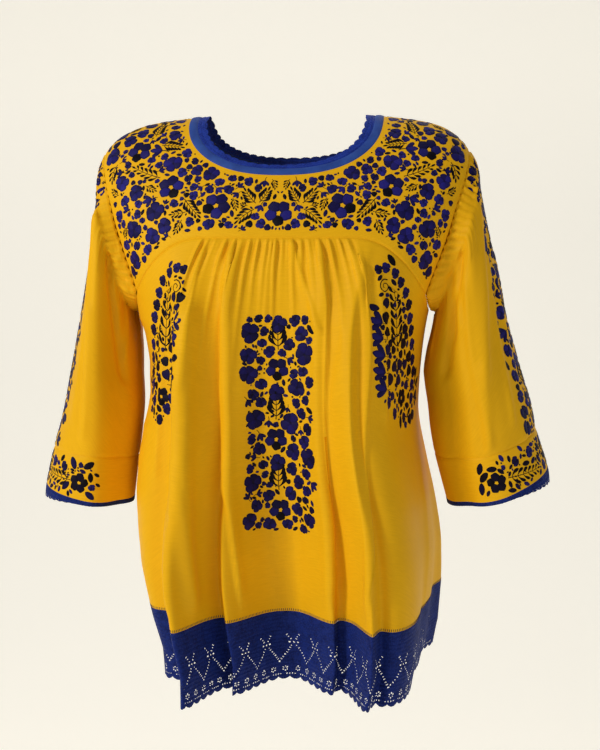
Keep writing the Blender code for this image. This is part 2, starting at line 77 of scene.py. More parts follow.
# How far the blouse hangs to the side, as heights and shifts
SWAY = np.array([
    (0.000, -0.0025),
    (-0.140, -0.0030),
    (-0.220, -0.0055),
    (-0.290, -0.0065),
    (-0.450, -0.0030),
    (-0.500, -0.0015),
    (-0.545, 0.0020),
    (-0.580, 0.0060),
    (-0.620, 0.0035),
])
SWAY_REACH = 0.20

# Necklines: the width across and how far down the front and the back they reach, in figure rings
NECK_SEAM = (0.1050, 3.92, 3.45)
NECK_BAND_INNER = (0.0955, 3.69, 3.20)
NECK_EDGE = (0.0850, 3.55, 2.90)
NECK_SIDE_POWER = 0.87
NECK_DROP_POWER = 0.50

# Yoke seams and armholes
YOKE_SEAM_HEIGHT = -0.139
YOKE_STRAIGHT_HALF = 0.078
YOKE_TIP_X = 0.156
YOKE_TIP_HEIGHT = -0.197
YOKE_CURVE_POWER = 2.2
TOP_RINGS = (3.0, 9.0)

# The armhole, as heights and x
ARMHOLE = np.array([
    (-0.0431, 0.1990),
    (-0.0600, 0.1980),
    (-0.0800, 0.1930),
    (-0.1050, 0.1850),
    (-0.1320, 0.1775),
    (-0.1600, 0.1685),
    (-0.1850, 0.1600),
    (YOKE_TIP_HEIGHT, YOKE_TIP_X),
])
UNDERARM_HEIGHT = -0.214
HEM_SEAM_HEIGHT = -0.534
HEM_HEIGHT = -0.610

# Long folds of the body: the angle at the yoke and at the hem, the height, the width towards smaller and
# larger angles, and the heading. Angle 0 is the middle of the front, +90 the wearer's left side, and 180 the
# middle of the back
FOLDS = np.array([
    (-54.0, -50.0, 0.012, 12.0, 9.0, -50.0),
    (-30.0, -31.5, 0.068, 5.4, 8.0, -7.0),
    (-11.5, -13.0, 0.026, 2.2, 11.0, -10.0),
    (1.0, 0.5, -0.038, 10.0, 9.0, 0.0),
    (12.0, 14.5, 0.015, 7.0, 2.2, 15.0),
    (24.0, 31.0, 0.034, 7.0, 2.0, 0.0),
    (32.0, 38.0, 0.050, 9.0, 12.0, 6.0),
    (42.0, 48.0, 0.014, 10.0, 13.0, 70.0),
    (116.0, 112.0, 0.022, 12.0, 12.0, 100.0),
    (137.0, 135.0, 0.030, 8.0, 10.0, 160.0),
    (157.0, 158.0, 0.024, 7.0, 8.0, 172.0),
    (180.0, 181.0, 0.034, 9.0, 8.0, 180.0),
    (203.0, 204.0, 0.026, 8.0, 7.0, 188.0),
    (225.0, 228.0, 0.034, 9.0, 9.0, 200.0),
    (248.0, 250.0, 0.014, 10.0, 10.0, 240.0),
])
FOLD_GROWTH = 0.85
FOLD_TOP_SPREAD = 1.25
HEM_FOLD_GROWTH = 0.12

# How much further out the body hangs at its wearer's right side, as heights and distances
RIGHT_SIDE = np.array([
    (-0.225, 0.0000),
    (-0.240, -0.0040),
    (-0.273, -0.0075),
    (-0.307, -0.0035),
    (-0.341, 0.0066),
    (-0.375, 0.0092),
    (-0.409, 0.0080),
    (-0.443, 0.0035),
    (-0.478, 0.0000),
])
RIGHT_SIDE_ANGLE = -70.0
RIGHT_SIDE_SPREAD = 20.0
SIDE_SHARE = 0.11
CURVE_SHARE = 0.13

# Sleeves, as rings from the armhole to the end of the crochet: x and height of the outer and the inner line,
# half depth, y of the middle and drop of the front. Then how far the outer and the inner line are moved to
# the wearer's left, and what the left sleeve has more, and the right one less, of both heights and the drop
SLEEVE = np.array([
    (0.21075, -0.090, 0.1675, -0.2230, 0.058, 0.000, 0.000, 0.00225, 0.0000, 0.000, 0.000, 0.000),
    (0.21815, -0.133, 0.1645, -0.2390, 0.062, 0.000, 0.000, 0.00415, 0.0000, 0.000, 0.000, 0.000),
    (0.22750, -0.180, 0.1605, -0.2620, 0.064, -0.001, 0.000, 0.00700, -0.0010, 0.000, 0.000, 0.000),
    (0.23650, -0.228, 0.1585, -0.2900, 0.064, -0.004, 0.000, 0.00900, -0.0015, 0.001, 0.001, 0.001),
    (0.24740, -0.275, 0.1595, -0.3200, 0.063, -0.008, 0.001, 0.01160, 0.0010, 0.003, 0.001, 0.002),
    (0.25830, -0.319, 0.1620, -0.3490, 0.061, -0.012, 0.002, 0.01270, 0.0010, 0.008, 0.003, 0.004),
    (0.26750, -0.355, 0.1660, -0.3755, 0.059, -0.014, 0.0035, 0.00940, 0.0010, 0.013, 0.0045, 0.0055),
    (0.27860, -0.395, 0.1750, -0.4230, 0.058, -0.016, 0.0060, 0.01060, 0.0040, 0.012, 0.0035, 0.0030),
    (0.28075, -0.413, 0.1765, -0.4300, 0.057, -0.017, -0.0020, 0.01075, 0.0040, 0.012, 0.0030, 0.0020),
])
SLEEVE_SEAM_ROW = 6
CUFF_ROW = 7
CUFF_LACE_ROW = 8
SLEEVE_HEAD_SHARE = 0.62
SLEEVE_HEAD_OUT = 0.004

# Sleeve folds: angle at the top and at the seam, height at the top and at the seam, and half width
SLEEVE_FOLDS = {
    "left": np.array([
        (62.0, 100.0, 0.0090, 0.0030, 17.0),
        (104.0, 140.0, -0.0060, -0.0040, 18.0),
        (-70.0, -95.0, 0.0060, 0.0040, 20.0),
        (-118.0, -140.0, -0.0040, -0.0040, 18.0),
    ]),
    "right": np.array([
        (70.0, 88.0, 0.0060, 0.0040, 20.0),
        (108.0, 128.0, -0.0070, -0.0050, 17.0),
        (-66.0, -90.0, 0.0060, 0.0040, 20.0),
        (-112.0, -138.0, -0.0040, -0.0040, 18.0),
    ]),
}

# Mesh counts, and how unevenly rows and columns are spaced
DENSE = 2401
YOKE_ROWS = 64
YOKE_ARMHOLE_STEPS = 56
YOKE_STRAIGHT_STEPS = 78
YOKE_CURVE_STEPS = 42
BODY_COLUMNS = 300
BODY_ROWS = 190
SIDE_STEPS = 28
SLEEVE_ROWS = 120
CUFF_ROWS = 22
HEM_ROWS = 30
HEM_COLUMNS = 480
CUFF_LACE_ROWS = 14
NECK_ROWS = 12
NECK_COLUMNS = 720
CURVE_MARKS = 40
UNDERARM_COLUMNS = 30
BODY_ROW_SPACING = 1.12
SLEEVE_ROW_SPACING = 1.2
ARMHOLE_SPACING = 1.15
CURVE_SPACING = 0.8
SPREAD_RATE = 3.2
SEWN_ROWS = 3

# Gathers: counts and seeds as in the solids, and the finer ones between them
GATHERS = {"front": (18, 3), "back": (11, 5)}
GATHER_DEPTH = 0.0021
GATHER_LENGTHS = (0.018, 0.085)
GATHER_WIDTHS = (0.7, 1.3)
GATHER_DEPTHS = (0.6, 1.15)
GATHER_FLAT = 0.2
GATHER_START = 0.0035
GATHER_FADE = 1.6
FINE_GATHERS = 31
FINE_GATHER_SEED = 20
FINE_GATHER_DEPTH = 0.0007
FINE_GATHER_LENGTHS = (0.010, 0.030)

# Creases: x and height of the top and of the low end, rise, and width towards the first column and the last
CREASE_TAPER = 0.10
CREASES = {
    "front": (
        (-0.098, -0.190, -0.101, -0.535, 0.0035, 0.0020, 0.0090),
        (-0.084, -0.190, -0.084, -0.540, 0.0085, 0.0100, 0.0140),
        (-0.071, -0.142, -0.090, -0.300, 0.0020, 0.0040, 0.0022),
        (-0.044, -0.136, -0.037, -0.540, 0.0050, 0.0020, 0.0100),
        (-0.006, -0.136, -0.008, -0.230, 0.0018, 0.0020, 0.0060),
        (0.014, -0.136, 0.052, -0.240, 0.0026, 0.0060, 0.0030),
        (0.043, -0.136, 0.056, -0.540, 0.0050, 0.0110, 0.0017),
        (0.084, -0.140, 0.093, -0.540, 0.0048, 0.0090, 0.0018),
        (0.104, -0.160, 0.118, -0.330, 0.0020, 0.0060, 0.0040),
        (-0.120, -0.220, -0.132, -0.400, 0.0022, 0.0060, 0.0050),
    ),
    "back": (
        (0.082, -0.140, 0.096, -0.535, 0.0034, 0.0090, 0.0030),
        (0.046, -0.136, 0.040, -0.535, 0.0036, 0.0030, 0.0100),
        (0.012, -0.136, 0.016, -0.300, 0.0022, 0.0050, 0.0026),
        (-0.020, -0.136, -0.010, -0.535, 0.0034, 0.0090, 0.0030),
        (-0.058, -0.136, -0.064, -0.535, 0.0038, 0.0028, 0.0100),
        (-0.094, -0.150, -0.110, -0.400, 0.0026, 0.0060, 0.0040),
    ),
    "right": (
        (-0.196, -0.110, -0.226, -0.350, 0.0030, 0.0100, 0.0060),
        (-0.184, -0.150, -0.168, -0.300, -0.0040, 0.0060, 0.0080),
        (-0.205, -0.200, -0.214, -0.360, 0.0024, 0.0050, 0.0050),
    ),
    "left": (
        (0.205, -0.080, 0.222, -0.300, 0.0034, 0.0060, 0.0110),
        (0.186, -0.150, 0.178, -0.290, -0.0036, 0.0070, 0.0070),
        (0.214, -0.260, 0.222, -0.370, 0.0022, 0.0060, 0.0050),
    ),
}

# Wrinkles: where they start and how long they are, as shares of the rows and the columns, their rise and
# width, and the trough at their side
WRINKLE_STARTS = ((0.02, 0.03), (0.55, 0.97))
WRINKLE_LENGTHS = (0.22, 0.60)
WRINKLE_RISES = (0.0008, 0.0021)
WRINKLE_WIDTHS = (0.0045, 0.0095)
WRINKLE_STEEP_SIDE = 0.7
TROUGH_AWAY = 0.022
TROUGH_DEPTH = 0.7

# How many wrinkles, how much they lean, and how strong they are
BODY_WRINKLES = (9, 0.02, 0.5)
SLEEVE_WRINKLES = (14, 0.04, 0.8)

# Seams, and the puckers at the sleeve heads
SEAM_DEPTH = 0.0010
SEAM_WIDTH = 0.0016
SEWN_SHARES = ((0, 1.0), (1, 0.4))
PUCKERS = 58
PUCKER_DEPTH = 0.0026
PUCKER_DEPTHS = (0.4, 1.2)
PUCKER_LENGTH = 0.017
PUCKER_LENGTHS = (0.6, 1.6)
PUCKER_START = 0.002
PUCKER_FADE = 1.5

# Random seeds
BODY_WRINKLE_SEED = 61
SLEEVE_WRINKLE_SEED = 71
PUCKER_SEED = 31
YOKE_SEEDS = {"front": 11, "back": 41}
BODY_SEED = 23
SLEEVE_SEED = 57
CUFF_SEED = 77
STITCH_SEED = 5

# Crochet: rows and columns of cells, relief in metres, and the period, depth and reach of its scallops in
# millimetres
HEM_LACE = (108, 740, 0.00030, 12.2, 2.9, 16.0)
CUFF_LACE = (24, 480, 0.00040, 9.5, 2.0, 6.0)
NECK_LACE = (12, 760, 0.00060, 12.0, 1.6, 4.0)
SCALLOP_POWER = 1.2
PICOT_DEPTH = 0.35
PICOTS = 4
CROCHET_STITCH = (1.9, 2.1)
CROCHET_START = 1.5
HOLE_SEARCH = 3
HOLE_RIM = (0.55, 1.45)
HOLE_ROUNDING = 0.85
BINDING_ROUND = 0.0012

# The holes of the crochet, in millimetres across and down. Pairs are half sizes
LADDER_TOP = 14.0
LADDER_LOW = 56.0
LADDER_PERIOD = 62.0
LADDER_STEP = 3.0
FIRST_HOLE = 24.0
SLOT = (0.95, 0.37)
CROSS_HOLE = 0.75
CROSS_CLEARANCE = 3.3
SIDE_HOLE = (1.1, 0.7)
SIDE_HOLE_AWAY = 4.6
PETAL_HOLE = (0.80, 0.45)
EYELET_RADIUS = 2.3
EYELET_STEP = 13.5
EYELET_DOWN = 64.5
EDGE_HOLE = (0.42, 0.55)
EDGE_HOLE_STEP = 3.05
EDGE_HOLES_DOWN = 70.5
CUFF_HOLE = (0.50, 0.60)
CUFF_HOLE_STEP = 5.2
CUFF_HOLES_DOWN = 9.5

# Short stitches along the top of the crochet hem: rows above the edge, step in metres, length and width in
# millimetres, and tone
HEM_STITCHES = (1.7, 0.0021, 2.6, 0.8, 0.60)

# Needlework: heights, widths and tones of pads and ribbons. Leaflets of more than BROAD_REACH are broader
PAD_EDGE = 0.06
PAD_SHOULDER = 0.68
PAD_CROWN = 1.12
# How much darker the rims of pads and ribbons are painted: painted shade where the stitches slope away
PAD_RIM_PAINTED_SHADE = 0.55
RIBBON_RIM_PAINTED_SHADE = 0.7
LEAFLET_WIDTHS = np.array([0.5, 0.8, 1.5, 2.6, 3.4, 3.0, 0.5])
LEAFLET_TURN = 58
LEAFLET_BEND = -46
BROAD_REACH = 11.0

# Five lobes of a pansy: the turn, the share of its radius, the height and the tone
PANSY_LOBES = (
    (36, 0.46, 0.42, 0.60),
    (-36, 0.45, 0.50, 0.66),
    (107, 0.45, 0.58, 1.00),
    (-107, 0.45, 0.46, 0.94),
    (180, 0.42, 0.54, 0.12),
)

# How far each petal of a flower reaches, and its tone
PETAL_REACHES = (1.06, 0.84, 0.98, 0.88, 1.02, 0.90)
PETAL_TONES = (1.0, 0.80, 0.95, 0.70, 0.90, 0.85)

# Filling: the room between stitched shapes, the sizes that are tried, and how few of the tries are for knots
STITCH_GAP = 0.0002
FIT_SIZES = (1.45, 1.15, 0.88, 0.70)
THROWN_TURN_SIZE_SHADE = ((0, 0.88, 0), (360, 1.14, 1))
KNOT_TRIES_SHARE = 5
SETTLE_STEPS = 4
LONGEST_STEP = 8

# The yoke. Places and sizes of its motifs are for the wearer's left half, which is mirrored
YOKE_NECK_MARGIN = 0.0035
YOKE_SEAM_MARGIN = 0.0070
YOKE_ARMHOLE_MARGIN = 0.0060
YOKE_TRIES = 900

# x, height, radius, turn and tone
YOKE_PANSIES = (
    (0.0, -0.1110, 15.0, 0.0, 0.90),
    (0.0655, -0.1030, 15.5, 70.0, 0.85),
    (0.1145, -0.0830, 14.5, -25.0, 0.90),
    (0.1530, -0.0440, 14.0, 20.0, 0.75),
)

YOKE_SPRAY_REACH = 10.5

# x, height, turn, length, pairs of leaflets and bend
YOKE_SPRAYS = (
    (0.1300, -0.0740, -62.0, 33.0, 5, 14.0),
    (0.1195, -0.1000, -165.0, 52.0, 8, 6.0),
    (0.1010, -0.0970, 142.0, 24.0, 5, -10.0),
    (0.1020, -0.0700, 38.0, 21.0, 4, 12.0),
    (0.0250, -0.1010, -38.0, 18.0, 4, 16.0),
    (0.0250, -0.1070, -128.0, 20.0, 4, -16.0),
    (0.0210, -0.1000, 30.0, 16.0, 4, -12.0),
    (0.1400, -0.0270, 15.0, 20.0, 5, 10.0),
    (0.1300, -0.0380, 100.0, 20.0, 5, 10.0),
)

# The middle panel of the front
PANEL_X = 0.006
PANEL_LIGHT = 0.78
PANEL_HALF_WIDTH = 0.033
PANEL_TOP = -0.220
PANEL_LOW = -0.443
PANEL_TRIES = 3000

# The side sprays: for shares of the way down, how far their middle is from the panel's, and their half width
PAISLEY_TOP = -0.163
PAISLEY_LOW = -0.336
PAISLEY = np.array([
    (0.00, 0.1080, 0.0060),
    (0.11, 0.1120, 0.0140),
    (0.25, 0.1160, 0.0150),
    (0.42, 0.1190, 0.0175),
    (0.62, 0.1210, 0.0190),
    (0.79, 0.1250, 0.0170),
    (0.90, 0.1290, 0.0110),
    (1.00, 0.1330, 0.0030),
])
PAISLEY_TRIES = 2500

# Their flowers: x from the panel's middle, height, radius and tone
PAISLEY_FLOWERS = (
    (0.1000, -0.1690, 5.4, 0.60),
    (0.1090, -0.1690, 5.8, 0.95),
    (0.1180, -0.1745, 5.8, 0.80),
    (0.1250, -0.1840, 6.0, 0.70),
    (0.1300, -0.1960, 6.2, 0.90),
    (0.1330, -0.2090, 6.4, 0.50),
    (0.1350, -0.2225, 6.6, 0.90),
    (0.1365, -0.2365, 6.6, 0.60),
    (0.1380, -0.2510, 6.6, 0.95),
    (0.1390, -0.2655, 6.6, 0.70),
    (0.1395, -0.2795, 6.6, 0.50),
    (0.1390, -0.2935, 6.6, 0.90),
    (0.1150, -0.3060, 6.6, 0.90),
    (0.1210, -0.3190, 6.4, 0.85),
    (0.1300, -0.3270, 5.8, 0.60),
    (0.1380, -0.3090, 6.4, 0.80),
)
PAISLEY_FLOWER_TURN = 12

# Their scroll, spray and pansy, and the first of their tulips: x, height and turn
PAISLEY_SCROLL = (0.1085, -0.188, 0)
PAISLEY_SPRAY = (0.1230, -0.256, 9)
PAISLEY_PANSY = (0.1280, -0.3040, 0)
PAISLEY_TULIP = (0.1080, -0.2240, 74)
PAISLEY_TULIPS = 5
PAISLEY_TULIP_STEP = (0.0014, -0.0168)
SCROLL_POINTS = 19
SCROLL_START = (-90, 1.2)
SCROLL_STEP = (-30, 0.34)

# The strip down each sleeve, in degrees from its outer line and as shares of its rows
SLEEVE_STRIP_ANGLE = 18.0
SLEEVE_STRIP_ENDS = (0.24, 0.93)
SLEEVE_STRIP_HALF_WIDTH = 0.0230
SLEEVE_STRIP_REPEATS = 4
SLEEVE_STRIP_WIDTH = 62.0
SLEEVE_TRIES = 1500

# The spray round each sleeve band: the angles of its ends, and how far it reaches from the band's middle
CUFF_SPRAY_ENDS = (4, 92)
CUFF_SPRAY_REACH = 0.016
CUFF_TRIES = 700
LINE_POINTS = 60
CUFF_LINE_POINTS = 40


def read_rows(table, position):
    """Rows of a table at fractional positions, along a smooth curve through the rows."""
    position = np.clip(np.asarray(position, float), 0, len(table) - 1)
    first = np.minimum(position.astype(int), len(table) - 2)
    share = (position - first)[..., None]
    ends = np.vstack([2 * table[0] - table[1], table, 2 * table[-1] - table[-2]])
    a, b, c, d = (ends[first + k] for k in range(4))
    return b + 0.5 * share * (c - a + share * (2 * a - 5 * b + 4 * c - d + share * (3 * (b - c) + d - a)))


def figure_ring(ring):
    """The columns of FIGURE at a ring number, mirrored below zero so that the shoulder ridge is round."""
    ring = np.abs(np.asarray(ring, float))
    mirrored = FIGURE[1] * np.array([1, 1, 1, -1, -1, 1])
    return read_rows(np.vstack([mirrored, FIGURE]), ring + 1)


def figure_point(x, ring, back):
    """The point of the figure that is x from the middle, on a ring, on its front or its back."""
    x, ring = np.broadcast_arrays(np.asarray(x, float), np.asarray(ring, float))
    middle, drop, half, front, rear, square = np.moveaxis(figure_ring(ring), -1, 0)
    across = np.clip(np.abs(x) / half, 0, 1)
    depth = np.where(back, rear, -front) * (1 - across**square) ** (1 / square)
    fall = SIDE_SLOPE_SHARE * across**SIDE_SLOPE_POWER + (1 - SIDE_SLOPE_SHARE) * across**SIDE_DROP_POWER
    return np.stack([x, depth, middle - drop * fall], -1)


def ring_at(x, height):
    """The ring whose surface passes through a height at a distance x from the middle."""
    x, height = np.broadcast_arrays(np.asarray(x, float), np.asarray(height, float))
    low, high = np.zeros(x.shape), np.full(x.shape, len(FIGURE) - 1.0)
    for _ in range(HALVINGS):
        ring = (low + high) / 2
        above = figure_point(x, ring, False)[..., 2] > height
        low, high = np.where(above, ring, low), np.where(above, high, ring)
    return (low + high) / 2


def side_x(angle, ring):
    """How far from the middle the figure is at an angle, on a ring."""
    rings = figure_ring(ring)
    half, square = rings[..., 2], rings[..., 5]
    sine = np.sin(np.radians(angle))
    return half * np.sign(sine) * np.abs(sine) ** (2 / square)


def yoke_seam_height(x):
    """Height of the seam under the yoke: straight in the middle and curved down to a tip at each armhole."""
    beyond = np.clip((np.abs(x) - YOKE_STRAIGHT_HALF) / (YOKE_TIP_X - YOKE_STRAIGHT_HALF), 0, 1)
    return YOKE_SEAM_HEIGHT + (YOKE_TIP_HEIGHT - YOKE_SEAM_HEIGHT) * beyond**YOKE_CURVE_POWER


def neck_curve(size, angle):
    """A neckline in (x, ring) terms; the ring is negative on the back. Angle 0 is the middle of the front."""
    half_width, front_ring, back_ring = size
    sine, cosine = np.sin(angle), np.cos(angle)
    x = half_width * np.sign(sine) * np.abs(sine) ** NECK_SIDE_POWER
    ring = np.where(cosine > 0, front_ring, -back_ring) * np.abs(cosine) ** NECK_DROP_POWER
    return np.stack([x, ring], -1)


def chart_point(chart):
    """Points of the figure from (x, ring) pairs, where a negative ring is on the back."""
    return figure_point(chart[..., 0], np.abs(chart[..., 1]), chart[..., 1] < 0)


def sway(points):
    """Moves points sideways, less near the neck, by how the blouse hangs."""
    x, height = points[..., 0], points[..., 2]
    shift = np.interp(-height, -SWAY[:, 0], SWAY[:, 1])
    reach = np.clip(np.hypot(x, 1.2 * height) / SWAY_REACH, 0, 1) ** 2
    moved = points.copy()
    moved[..., 0] += shift * reach
    return moved


def arc_shares(curve):
    """The share of a curve's length that each of its points is at."""
    length = np.concatenate([[0], np.cumsum(np.linalg.norm(np.diff(curve, axis=0), axis=1))])
    return length / length[-1]


def along(curve, share):
    """Points at shares of a curve's length."""
    at = arc_shares(curve)
    return np.stack([np.interp(share, at, curve[:, k]) for k in range(3)], -1)


def smooth_step(value):
    """0 below 0, 1 above 1, and a smooth rise between."""
    value = np.clip(value, 0, 1)
    return value * value * (3 - 2 * value)


class Cloth:
    """A cloth piece as a grid of points with outward normals. It can be read between its points."""

    def __init__(self, grid, outward, ring=False):
        self.ring = ring
        self.outward = outward
        self.set(grid)

    def set(self, grid):
        """Takes a grid of points, and finds its normals and its lengths along the rows and the columns."""
        self.grid = grid
        self.rows, self.columns = grid.shape[:2]
        wrapped = np.concatenate([grid[:, -1:], grid, grid[:, :1]], 1) if self.ring else grid
        across = np.gradient(wrapped, axis=1)
        across = across[:, 1:-1] if self.ring else across
        normal = np.cross(across, np.gradient(grid, axis=0)) * self.outward
        self.normals = normal / np.maximum(np.linalg.norm(normal, axis=-1, keepdims=True), 1e-12)
        self.across = np.concatenate([
            np.zeros((self.rows, 1)),
            np.cumsum(np.linalg.norm(np.diff(grid, axis=1), axis=-1), axis=1),
        ], 1)
        self.down = np.concatenate([
            np.zeros((1, self.columns)),
            np.cumsum(np.linalg.norm(np.diff(grid, axis=0), axis=-1), axis=0),
        ])

    def raise_by(self, height):
        """Moves each point out along its normal."""
        self.set(self.grid + self.normals * height[..., None])

    def read(self, row, column):
        """Points at fractional rows and columns, how they change per row and per column, and the normals."""
        row = np.clip(row, 0, self.rows - 1)
        top = np.minimum(row.astype(int), self.rows - 2)
        if self.ring:
            column = np.mod(column, self.columns)
            left = np.minimum(column.astype(int), self.columns - 1)
            right = (left + 1) % self.columns
        else:
            column = np.clip(column, 0, self.columns - 1)
            left = np.minimum(column.astype(int), self.columns - 2)
            right = left + 1
        down, over = (row - top)[..., None], (column - left)[..., None]
        a, b = self.grid[top, left], self.grid[top, right]
        c, d = self.grid[top + 1, left], self.grid[top + 1, right]
        point = (a * (1 - over) + b * over) * (1 - down) + (c * (1 - over) + d * over) * down
        per_row = (c - a) * (1 - over) + (d - b) * over
        per_column = (b - a) * (1 - down) + (d - c) * down
        a, b = self.normals[top, left], self.normals[top, right]
        c, d = self.normals[top + 1, left], self.normals[top + 1, right]
        normal = (a * (1 - over) + b * over) * (1 - down) + (c * (1 - over) + d * over) * down
        return point, per_row, per_column, normal

    def find(self, x, height, facing=-1, near=0.0025):
        """The row and column of the place that is seen from the front, or the back, at x and a height."""
        apart = np.hypot(self.grid[..., 0] - x, self.grid[..., 2] - height)
        cost = np.maximum(apart - near, 0) * 1000 - facing * self.grid[..., 1]
        return np.array(np.unravel_index(np.argmin(cost), cost.shape), float)


def folded_rows(back, depth, below, top, angle):
    """The folded body, as a curve for each share of the way from the yoke seam to the hem seam.

    below is a height under the hem seam, for the crochet, where the folds keep growing."""
    depth, below = depth[:, None], below[:, None]
    hem = ring_at(np.zeros(below.shape), HEM_SEAM_HEIGHT - below)
    ring = top + (hem - top) * depth
    points = figure_point(side_x(angle, ring), ring, back)
    growth = depth**FOLD_GROWTH + below / (HEM_SEAM_HEIGHT - HEM_HEIGHT) * HEM_FOLD_GROWTH
    widen = FOLD_TOP_SPREAD - (FOLD_TOP_SPREAD - 1) * depth
    for at_yoke, at_hem, height, width_below, width_above, heading in FOLDS:
        offset = (angle - at_yoke - (at_hem - at_yoke) * depth + 180) % 360 - 180
        width = widen * np.where(offset < 0, width_below, width_above)
        bump = height * growth * np.exp(-((offset / width) ** 2))
        way = np.array([math.sin(math.radians(heading)), -math.cos(math.radians(heading)), 0.0])
        points = points + bump[..., None] * way
    out = np.interp(-points[..., 2], -RIGHT_SIDE[:, 0], RIGHT_SIDE[:, 1])
    apart = (angle - RIGHT_SIDE_ANGLE + 180) % 360 - 180
    points[..., 0] -= out * np.exp(-((apart / RIGHT_SIDE_SPREAD) ** 2))
    return points


def body_top_ring(angle):
    """The ring of the figure that the body's top edge is on, at each angle."""
    low, high = (np.full(angle.shape, ring) for ring in TOP_RINGS)
    for _ in range(HALVINGS):
        ring = (low + high) / 2
        x, half = side_x(angle, ring), figure_ring(ring)[..., 2]
        under = np.clip((np.abs(x) - YOKE_TIP_X) / (half - YOKE_TIP_X), 0, 1)
        edge = yoke_seam_height(x) + (UNDERARM_HEIGHT - YOKE_TIP_HEIGHT) * under * (2 - under)
        above = figure_point(x, ring, False)[..., 2] > edge
        low, high = np.where(above, ring, low), np.where(above, high, ring)
    return (low + high) / 2


def side_angles(back):
    """Angles round half the figure, from the wearer's right side to the left."""
    angle = np.linspace(-90, 90, DENSE)
    return 180 - angle if back else angle


def curved_seam_x(bend):
    """How far from the middle the curved end of the yoke seam is, at shares from its start to its tip."""
    return YOKE_STRAIGHT_HALF + (YOKE_TIP_X - YOKE_STRAIGHT_HALF) * bend**CURVE_SPACING


def top_shares(top, share):
    """Where each column, given by its share of the hem, is along the panel's top edge."""
    bend = np.linspace(0, 1, CURVE_MARKS)
    seam_x = curved_seam_x(bend)
    at = arc_shares(top)
    half = np.interp(-seam_x[::-1], top[:, 0], at)
    marks = np.concatenate([[0], half, 1 - half[::-1], [1]])
    hem = SIDE_SHARE + CURVE_SHARE * bend
    hem_marks = np.concatenate([[0], hem, 1 - hem[::-1], [1]])
    return np.interp(share, hem_marks, marks)


def gather_waves(share, count, seed, depth, lengths):
    """The gathers under the yoke seam: for each column the height of its wave, and how far down it goes."""
    random = np.random.default_rng(seed)
    widths = random.uniform(*GATHER_WIDTHS, count)
    marks = np.concatenate([[0], np.cumsum(widths)]) / np.sum(widths)
    start = SIDE_SHARE + CURVE_SHARE
    place = (share - start) / (1 - 2 * start)
    number = np.interp(place, marks, np.arange(count + 1))
    gather = np.minimum(number.astype(int), count)
    depths = random.uniform(*GATHER_DEPTHS, count + 1)[gather]
    reach = random.uniform(*lengths, count + 1)[gather]
    wave = (1 - GATHER_FLAT) * np.sin(2 * math.pi * number)
    wave = wave - GATHER_FLAT * np.cos(4 * math.pi * number) + GATHER_FLAT
    return depth * depths * wave * ((place > 0) & (place < 1)), reach


def body_cloth(back, seam):
    """One body panel, sewn to its half of the yoke along seam, with its gathers."""
    angle = side_angles(back)
    depth = np.linspace(0, 1, BODY_ROWS + 1) ** BODY_ROW_SPACING
    curves = folded_rows(back, depth, np.zeros(depth.shape), body_top_ring(angle), angle)
    share = np.linspace(0, 1, BODY_COLUMNS + 1)
    at_top = top_shares(curves[0], share)
    spread = (1 - np.exp(-SPREAD_RATE * depth)) / (1 - math.exp(-SPREAD_RATE))
    grid = np.array([along(curve, at_top + (share - at_top) * s) for curve, s in zip(curves, spread)])
    sewn = np.clip(grid[0, :, 0], seam[0, 0], seam[-1, 0]) == grid[0, :, 0]
    fade = np.exp(-np.arange(BODY_ROWS + 1) / SEWN_ROWS)[:, None]
    for k in (1, 2):
        moved = np.where(sewn, np.interp(grid[0, :, 0], seam[:, 0], seam[:, k]) - grid[0, :, k], 0)
        grid[..., k] += moved * fade
    cloth = Cloth(grid, 1 if back else -1)
    count, seed = GATHERS["back" if back else "front"]
    height = np.zeros(grid.shape[:2])
    for gathers, number, size, lengths in (
        (count, seed, GATHER_DEPTH, GATHER_LENGTHS),
        (FINE_GATHERS, seed + FINE_GATHER_SEED, FINE_GATHER_DEPTH, FINE_GATHER_LENGTHS),
    ):
        wave, reach = gather_waves(share, gathers, number, size, lengths)
        begun = 1 - np.exp(-cloth.down / GATHER_START)
        height += wave * begun * np.exp(-((cloth.down / reach) ** GATHER_FADE))
    cloth.raise_by(height)
    return cloth


def hem_cloth(back):
    """The surface of half the crochet hem, from the hem seam down."""
    angle = side_angles(back)
    step = np.linspace(0, 1, HEM_ROWS + 1)
    below = (HEM_SEAM_HEIGHT - HEM_HEIGHT) * step
    curves = folded_rows(back, np.ones(step.shape), below, body_top_ring(angle), angle)
    share = np.linspace(0, 1, HEM_COLUMNS + 1)
    return Cloth(np.array([along(curve, share) for curve in curves]), 1 if back else -1)


def yoke_cloth(back):
    """Half the yoke, from the neck seam out to the armholes and the body seam."""
    steps = np.linspace(0, 1, YOKE_ARMHOLE_STEPS + 1)
    height = ARMHOLE[0, 0] + (ARMHOLE[-1, 0] - ARMHOLE[0, 0]) * steps**ARMHOLE_SPACING
    arm_x = np.interp(-height, -ARMHOLE[:, 0], ARMHOLE[:, 1])
    curve_x = curved_seam_x(np.linspace(0, 1, YOKE_CURVE_STEPS + 1))
    straight = np.linspace(-YOKE_STRAIGHT_HALF, YOKE_STRAIGHT_HALF, YOKE_STRAIGHT_STEPS + 1)
    seam_x = np.concatenate([-curve_x[:0:-1], straight, curve_x[1:]])
    x = np.concatenate([-arm_x, seam_x[1:-1], arm_x[::-1]])
    edge_height = np.concatenate([height, yoke_seam_height(seam_x[1:-1]), height[::-1]])
    ring = ring_at(x, edge_height)
    ring[[0, -1]] = 0
    edge = np.stack([x, -ring if back else ring], -1)
    share = np.linspace(-1, 1, len(edge))
    angle = math.pi / 2 * np.sign(share) * np.abs(share) ** CURVE_SPACING
    neck = neck_curve(NECK_SEAM, math.pi - angle if back else angle)
    neck[[0, -1], 1] = 0
    chart = neck + (edge - neck) * np.linspace(0, 1, YOKE_ROWS + 1)[:, None, None]
    grid = chart_point(chart)
    grid[:, [0, -1], 1] = 0
    return Cloth(grid, 1 if back else -1)


